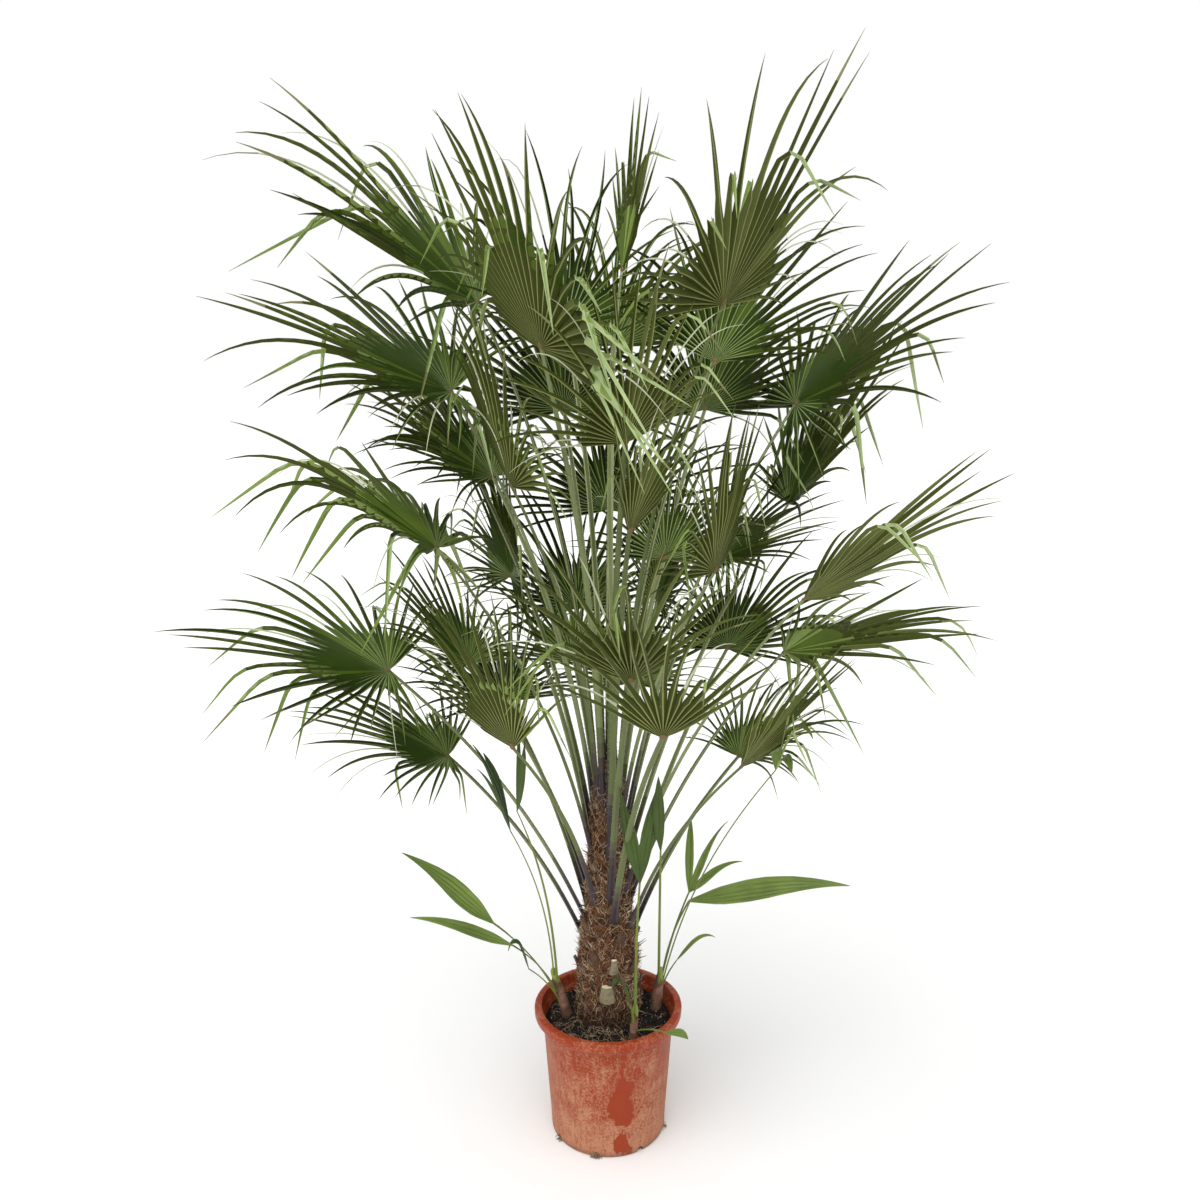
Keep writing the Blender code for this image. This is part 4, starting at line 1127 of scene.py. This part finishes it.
def pleated_blade(gathered, hub, axes, frond, split, own_habits, skins):
    """A fan: each leaflet with its own habit, its first part sharing edges with its neighbours."""
    main, other, pale, dry = skins
    count = round(frond.spread / LEAFLET_PITCH)
    pitch = math.radians(frond.spread) / count
    bounds, parts = [], []
    for number in range(count + 1):
        angle = pitch * (number - count / 2)
        length = leaflet_length(frond.blade, angle, frond.spread)
        bounds.append(leaflet_line(hub, axes, angle, length, frond.droop, frond.cup))
        parts.append(draw.uniform(*split))
    parts[0] = parts[-1] = END_PARTS_AT
    for number in range(count):
        angle = pitch * (number - (count - 1) / 2)
        length = leaflet_length(frond.blade, angle, frond.spread)
        part = max(LEAST_SPLIT, min(parts[number], parts[number + 1]))
        kinked, thread, short = (draw.random() < share for share in (KINK_SHARE, THREAD_SHARE, SHORT_SHARE))
        habit = Habit(
            stretch=draw.uniform(*(SHORT_STRETCH if short else STRETCH)),
            droop=draw.uniform(0.1, 1.4) + thread, yaw=draw.gauss(0, 0.15), roll=draw.gauss(0, 1.0),
            kink=draw.uniform(*KINKS_BETWEEN) if kinked else NEVER, kink_side=draw.gauss(0, 0.3),
            kink_out=draw.uniform(0.1, 0.9),
        )
        habit = habit._replace(**own_habits.get(number, {}))
        line = leaflet_line(hub, axes, angle, length, frond.droop, frond.cup, part, habit)
        width = 2 * length * WIDEST_AT * math.sin(pitch / 2) / math.cos(FOLD_JOINED)
        width *= draw.uniform(0.85, 1.05)
        inner = other if draw.random() < OTHER_SHARE else main
        outer, outer_from = inner, part
        # Past its kink a hanging leaflet takes the pale tint, a painted highlight for the sheen that it
        # catches
        if habit.kink < 1:
            outer, outer_from = pale, habit.kink + HIGHLIGHT_AFTER_KINK
        elif thread and number not in own_habits:
            outer, outer_from, width = dry, part + THREAD_FROM, width * THREAD_WIDTH
        tip = [DRY] * 6 if draw.random() < DRY_TIP_SHARE else outer
        own_skins = (inner, outer, tip)
        pair = slice(number, number + 2)
        leaflet(gathered, line, bounds[pair], parts[pair], width, length, own_skins, outer_from)


def hastula(gathered, hub, axes, size, slot):
    """The small corky tongue where the petiole ends on the blade."""
    along, normal, side = axes
    rings = []
    for share, wide in ((-0.5, 0.35), (0.0, 1.0), (0.6, 0.8), (1.2, 0.25)):
        ring = []
        for corner in range(8):
            angle = math.tau * corner / 8
            ring.append(hub + along * size * share + side * math.cos(angle) * size * 0.7 * wide
                        + normal * math.sin(angle) * size * 0.32 * wide)
        rings.append(ring)
    gathered.sweep(rings, [slot] * 8)


# Leaf skins: the wax on the upper side shines, the underside is duller. Tints run from frond to frond
UPPER_PAINTED_SHADE, DEEP, GREEN, FRESH, OLIVE, UNDER, RIB, RIB_UNDER, PAINTED_HIGHLIGHT, THREAD, DRY, CORK = range(12)
WAX_ABOVE, WAX_BELOW = 0.16, 0.15
blade_finishes = [
    # The darkest upper tint is painted shade, for the shaded halves of deep green folds
    plant_finish("leaf_upper_painted_shade", "#1f2d07", 0.50, WAX_ABOVE),
    plant_finish("leaf_upper_deep", "#374b12", 0.50, WAX_ABOVE),
    plant_finish("leaf_upper_green", "#566a22", 0.50, WAX_ABOVE),
    plant_finish("leaf_upper_fresh", "#869a52", 0.50, WAX_ABOVE),
    plant_finish("leaf_under_olive", "#454c1c", 0.56, WAX_BELOW),
    plant_finish("leaf_under_green", "#5e6532", 0.56, WAX_BELOW),
    # The upper rib is pale, and is lightened further as a painted highlight along each fold
    plant_finish("leaf_rib_upper", "#96a66c", 0.50, WAX_ABOVE),
    plant_finish("leaf_rib_under", "#858a52", 0.56, WAX_BELOW),
    # The pale ribbon tint is a painted highlight: the sheen of hanging leaflets, not their own colour
    plant_finish("leaf_ribbon_painted_highlight", "#afc088", 0.50, WAX_ABOVE),
    plant_finish("leaf_thread_dry", "#c8ccae", 0.60, WAX_BELOW),
    plant_finish("leaf_dry_tip", "#85845a", 0.70, WAX_BELOW),
    plant_finish("hastula_cork", "#7b6546", 0.75, WAX_BELOW),
]
# Main and other skin of a fan's leaflets, above and below, and how often it is drawn
SKINS = (
    ((DEEP, OLIVE), (GREEN, UNDER), 45),
    ((GREEN, OLIVE), (FRESH, UNDER), 40),
    ((FRESH, UNDER), (GREEN, OLIVE), 15),
)
# Painted shade: one half of each fold takes a tint deeper than the other, standing in for the shade that its
# neighbour casts on it
FOLD_PAINTED_SHADE = {DEEP: UPPER_PAINTED_SHADE, GREEN: DEEP, FRESH: GREEN, OLIVE: OLIVE, UNDER: OLIVE, PAINTED_HIGHLIGHT: FRESH}
# Rows of SKINS for the fans that the photograph shows clearly darker or paler
OWN_SKINS = {2: 1, 3: 0, 6: 0, 8: 1, 9: 0, 12: 0, 15: 0, 18: 2, 20: 2, 26: 1, 28: 1, 34: 1, 37: 1, 39: 0}


def skin_slots(upper, under):
    """Slots of a leaflet's six sides: its rib above and below, between its two halves, one half in its own
    tint and the other a tint deeper as painted shade.
    """
    return [upper, RIB, FOLD_PAINTED_SHADE[upper], under, RIB_UNDER, FOLD_PAINTED_SHADE[under]]


STOREYS = (
    ("crown_blades_top", 0, 12), ("crown_blades_middle", 12, 24),
    ("crown_blades_low", 24, 35), ("crown_blades_inner", 35, 39),
)
for storey, first, last in STOREYS:
    blades = Gathered()
    for number in range(first, last):
        frond = CROWN[number]
        hub = frond_hub(frond)
        axes_of_blade = blade_axes(frond.bearing, frond.rise, frond.roll)
        drawn = draw.choices(range(len(SKINS)), [row[2] for row in SKINS])[0]
        main, other, _ = SKINS[OWN_SKINS.get(number + 1, drawn)]
        skins = (skin_slots(*main), skin_slots(*other), skin_slots(PAINTED_HIGHLIGHT, PAINTED_HIGHLIGHT), [THREAD] * 6)
        split = LONG_SPLIT if number + 1 in LONG_WEBBED else SPLIT
        habits = OWN_HABITS.get(number + 1, {})
        pleated_blade(blades, hub, axes_of_blade, frond, split, habits, skins)
        hastula(blades, hub, axes_of_blade, HASTULA_SIZE, CORK)
    piece = as_object(storey, blades.mesh(storey, sharp=25), blade_finishes)
    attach(piece, "root")
    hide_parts(*[f"frond_{number + 1:02}" for number in range(first, last)])

# Suckers: three offshoots beside the trunk. A brown papery sheath wraps each stem, and a few thin
# stalks leave it with the young leaves: broad pleated straps, not yet divided into fans.
GAP = 0.0003


class Sucker(NamedTuple):
    """The sheathed stem of a sucker, from the soil to where its stalks part."""

    foot: tuple
    top: tuple
    foot_radius: float
    top_radius: float


class YoungLeaf(NamedTuple):
    """One leaf of a sucker: its hub, and the few broad leaflets that it has."""

    sucker: str
    hub: tuple
    bearing: float
    rise: float
    blade: float
    leaflets: int
    spread: float
    width: float
    droop: float = 0.4
    roll: float = 0.0


SUCKERS = {
    "sucker_left": Sucker((-0.088, -0.012), (-0.112, -0.014, 0.345), 0.0115, 0.0090),
    "sucker_right": Sucker((0.104, 0.022), (0.113, 0.022, 0.330), 0.0130, 0.0090),
    "sucker_front": Sucker((0.052, -0.092), (0.056, -0.094, 0.315), 0.0085, 0.0075),
}
STALK_RADII = (0.0032, 0.0021)
STALK_LOWEST = 0.30
STALK_HIGHEST = 0.95
STALK_DEPTH = 0.65
STALK_STEPS = 22
SHEATH_LAYERS = ((-0.10, 0.42), (0.10, 0.70), (0.30, 1.02), (0.50, 1.25))
SHEATH_STEPS, SHEATH_SIDES = 8, 16
SHEATH_CRUMPLE, SHEATH_TEAR = 0.0009, 0.008
STRAP_STEPS = 18
STRAP_WIDTHS = (
    (0.0, 0.10), (0.06, 0.30), (0.20, 0.75), (0.38, 0.97), (0.50, 1.0),
    (0.66, 0.88), (0.80, 0.62), (0.92, 0.30), (1.0, 0.03),
)
STRAP_PLEAT, PLEAT_DEPTH, STRAP_BOAT = 0.0050, 0.55, 0.30
# Leaves that the photograph shows in the shade of the crown, counted from 1
# Their skins are painted shade: darker copies of the young leaf tints, for the crown's shadow on them
PAINTED_SHADE_LEAVES = (1, 2, 5, 9, 11, 12)
YOUNG_LEAVES = (
    YoungLeaf("sucker_left", (-0.203, -0.050, 0.706), 180, 58, 0.20, 3, 45, 0.030),
    YoungLeaf("sucker_left", (-0.180, -0.140, 0.785), 200, 80, 0.17, 2, 36, 0.034, droop=0.2),
    YoungLeaf("sucker_left", (-0.245, -0.030, 0.489), 180, 40, 0.26, 1, 24, 0.046, droop=0.15, roll=55),
    YoungLeaf("sucker_left", (-0.200, -0.075, 0.462), 188, 18, 0.23, 1, 20, 0.030, droop=0.2, roll=40),
    YoungLeaf("sucker_left", (-0.168, -0.060, 0.400), 190, 60, 0.10, 1, 24, 0.024, droop=1.6),
    YoungLeaf("sucker_right", (0.177, 0.050, 0.499), 2, 8, 0.35, 1, 20, 0.050, droop=0.2, roll=-60),
    YoungLeaf("sucker_right", (0.182, 0.110, 0.490), 10, 60, 0.20, 3, 75, 0.022, roll=-40),
    YoungLeaf("sucker_right", (0.351, 0.000, 0.819), 0, 60, 0.17, 4, 140, 0.026, droop=1.2),
    YoungLeaf("sucker_right", (0.103, -0.160, 0.710), 300, 80, 0.15, 1, 30, 0.026, droop=0.1),
    YoungLeaf("sucker_right", (0.150, 0.030, 0.368), 5, 35, 0.11, 1, 24, 0.018, droop=0.9),
    YoungLeaf("sucker_front", (0.062, -0.170, 0.646), 280, 80, 0.22, 2, 44, 0.028, droop=0.1),
    YoungLeaf("sucker_front", (0.044, -0.130, 0.361), 200, 60, 0.09, 1, 30, 0.026, droop=1.5),
    YoungLeaf("sucker_front", (0.118, -0.140, 0.304), 320, 4, 0.058, 1, 40, 0.030, droop=0.5),
)
draw = random.Random(71)


def sucker_line(sucker):
    """The foot of a sucker's stem on the soil, and its top."""
    return Vector((*sucker.foot, SOIL_HEIGHT + GAP)), Vector(sucker.top)


def stalk_feet():
    """Where each stalk starts inside its sucker: the steeper it stands, the higher it starts."""
    feet = [None] * len(YOUNG_LEAVES)
    for name, sucker in SUCKERS.items():
        foot, top = sucker_line(sucker)
        slopes = {}
        for number, leaf in enumerate(YOUNG_LEAVES):
            if leaf.sucker == name:
                chord = Vector(leaf.hub) - top
                slopes[number] = chord.z / chord.xy.length
        for rank, number in enumerate(sorted(slopes, key=slopes.get)):
            share = STALK_LOWEST + (STALK_HIGHEST - STALK_LOWEST) * rank / (len(slopes) - 1)
            out = Vector(YOUNG_LEAVES[number].hub) - top
            level = level_part(out).normalized()
            feet[number] = foot.lerp(top, share) + level * sucker.top_radius * STALK_DEPTH
    return feet


def sheath(gathered, sucker):
    """Papery sheaths wrapped one over the other, each ending in a slanting torn edge."""
    foot, top = sucker_line(sucker)
    heading = (top - foot).normalized()
    span = (top - foot).length
    for layer, (start, end) in enumerate(SHEATH_LAYERS):
        turn = layer * 2.1
        rings = []
        for step in range(SHEATH_STEPS + 1):
            share = start + (end - start) * step / SHEATH_STEPS
            up_stem = min(1.0, max(0.0, share))
            radius = sucker.foot_radius + (sucker.top_radius - sucker.foot_radius) * up_stem
            radius *= 1.08 - 0.05 * layer - 0.35 * max(0.0, share - 0.8)
            ring = round_ring(foot + heading * span * share, heading, radius, SHEATH_SIDES)
            for corner, point in enumerate(ring):
                angle = math.tau * corner / SHEATH_SIDES + turn
                wave = noise.noise(point * 160) * SHEATH_CRUMPLE
                slant = math.cos(angle) * SHEATH_TEAR * (step / SHEATH_STEPS)
                out = (point - foot - heading * span * share).normalized()
                ring[corner] = point + out * wave + heading * slant
            rings.append(ring)
        gathered.sweep(rings, [layer % 2 if layer < 3 else 2] * SHEATH_SIDES)


def strap(gathered, hub, axes, angle, leaf, length, slots):
    """A young leaflet: a broad boat-shaped strap with several fine pleats side by side."""
    line = leaflet_line(hub, axes, angle, length, leaf.droop, BLADE_CUP)
    pleats = max(2, 2 * round(leaf.width / STRAP_PLEAT / 2))
    rings, lengths = [], []
    for step in range(STRAP_STEPS + 1):
        share = step / STRAP_STEPS
        centre, across, heading = on_line(line, share)
        normal = heading.cross(across).normalized()
        half = leaf.width * stepped(STRAP_WIDTHS, share) / 2
        depth = half / pleats * PLEAT_DEPTH
        upper, under = [], []
        for ridge in range(pleats + 1):
            place = ridge / pleats * 2 - 1
            lift = normal * (depth * (1 if ridge % 2 else -1) + half * STRAP_BOAT * place * place)
            point = centre + across * half * place + lift
            upper.append(point + normal * LEAF_THICKNESS / 2)
            under.append(point - normal * LEAF_THICKNESS / 2)
        rings.append([*reversed(upper), *under])
        lengths.append(share * length)
    gathered.sweep(rings, [slots[0]] * pleats + [slots[1]] * (pleats + 1) + [slots[0]], lengths)


# Sheath: dry brown paper below, greener above. Young leaves: thin, bright and less waxy
sheath_brown = fibrous_finish("dry_leaf_sheath", "#4c3325", "#7e5f4b", 0.003, 0.7)
sheath_rosy = fibrous_finish("dry_leaf_sheath_rosy", "#6b473b", "#9c7764", 0.003, 0.7)
sheath_green = plant_finish("young_sheath_skin", "#8b953c", 0.45)
stalk_green = plant_finish("young_stalk_skin", "#6f7d38", 0.45, sheen_of_wax=0.3)
strap_finishes = [
    plant_finish("young_leaf_upper", "#728741", 0.42, sheen_of_wax=0.3, vary=0.18),
    plant_finish("young_leaf_under", "#869548", 0.50, sheen_of_wax=0.2, vary=0.18),
    # The dark pair is painted shade, for young leaves in the crown's shadow
    plant_finish("young_leaf_upper_painted_shade", "#36481f", 0.42, sheen_of_wax=0.3, vary=0.18),
    plant_finish("young_leaf_under_painted_shade", "#46572a", 0.50, sheen_of_wax=0.2, vary=0.18),
]

sheaths = Gathered()
for sucker in SUCKERS.values():
    sheath(sheaths, sucker)
sheath_mesh = sheaths.mesh("sucker_sheaths", sharp=60)
sucker_sheaths = as_object("sucker_sheaths", sheath_mesh, [sheath_brown, sheath_rosy, sheath_green])
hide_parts(*SUCKERS)

stalks, straps = Gathered(), Gathered()
for number_of_leaf, (leaf, foot) in enumerate(zip(YOUNG_LEAVES, stalk_feet()), 1):
    hub = Vector(leaf.hub)
    axes_of_blade = blade_axes(leaf.bearing, leaf.rise, leaf.roll)
    route = petiole_route(foot, hub, STALK_STEPS)
    stalk(stalks, route, STALK_RADII, axes_of_blade[1], [0] * len(PETIOLE_SHAPE))
    pitch = math.radians(leaf.spread) / leaf.leaflets
    for number in range(leaf.leaflets):
        angle = pitch * (number - (leaf.leaflets - 1) / 2)
        length = leaflet_length(leaf.blade, angle, leaf.spread)
        # Leaves in the crown's shadow take the dark pair, as painted shade
        slots = (2, 3) if number_of_leaf in PAINTED_SHADE_LEAVES else (0, 1)
        strap(straps, hub, axes_of_blade, angle, leaf, length, slots)
young_stalks = as_object("young_leaf_stalks", stalks.mesh("young_leaf_stalks", sharp=70), [stalk_green])
young_straps = as_object("young_leaf_straps", straps.mesh("young_leaf_straps", sharp=30), strap_finishes)
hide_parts(*[f"young_leaf_{number + 1:02}" for number in range(len(YOUNG_LEAVES))])
for piece in (sucker_sheaths, young_stalks, young_straps):
    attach(piece, "root")

# Stage: a pale floor under an even white sky, with one large soft lamp high at the front left
floor_paint, tree, shader = new_finish("pale_floor_paint", Base_Color=linear("#fcfcfb"), Roughness=0.9)
floor_mesh = bpy.data.meshes.new("floor")
floor_shape = bmesh.new()
bmesh.ops.create_circle(floor_shape, cap_ends=True, segments=64, radius=40.0)
floor_shape.to_mesh(floor_mesh)
floor_shape.free()
floor = as_object("floor", floor_mesh, [floor_paint])

# The sky is white to the camera, and lights the plant a little less than that
sky = bpy.data.worlds.new("white_sky")
sky.use_nodes = True
background = sky.node_tree.nodes["Background"]
seen = add_node(sky.node_tree, "LightPath").outputs["Is Camera Ray"]
strength = add_node(sky.node_tree, "Math", {0: seen, 1: 0.38, 2: 0.62}, operation="MULTIPLY_ADD")
wire(sky.node_tree, background, {"Color": linear("#ffffff"), "Strength": strength})
bpy.context.scene.world = sky

daylight = bpy.data.lights.new("soft_daylight", "SUN")
daylight.energy = 2.2
daylight.angle = math.radians(75)
lamp = bpy.data.objects.new("soft_daylight", daylight)
lamp.rotation_euler = Vector((0.25, 0.50, -1.0)).to_track_quat("-Z", "Y").to_euler()
bpy.context.scene.collection.objects.link(lamp)

# The photograph's camera, fitted to the pot's lip, neck and base
lens = bpy.data.cameras.new("camera")
lens.sensor_width = 36.0
lens.lens = 31.5
lens.shift_x = -8.3 / 1200
camera = bpy.data.objects.new("camera", lens)
camera.location = (0.0, -2.097, 1.572)
camera.rotation_euler = (math.radians(90 - 10.56), 0.0, 0.0)
bpy.context.scene.collection.objects.link(camera)
bpy.context.scene.camera = camera
bpy.context.scene.view_settings.view_transform = "Standard"
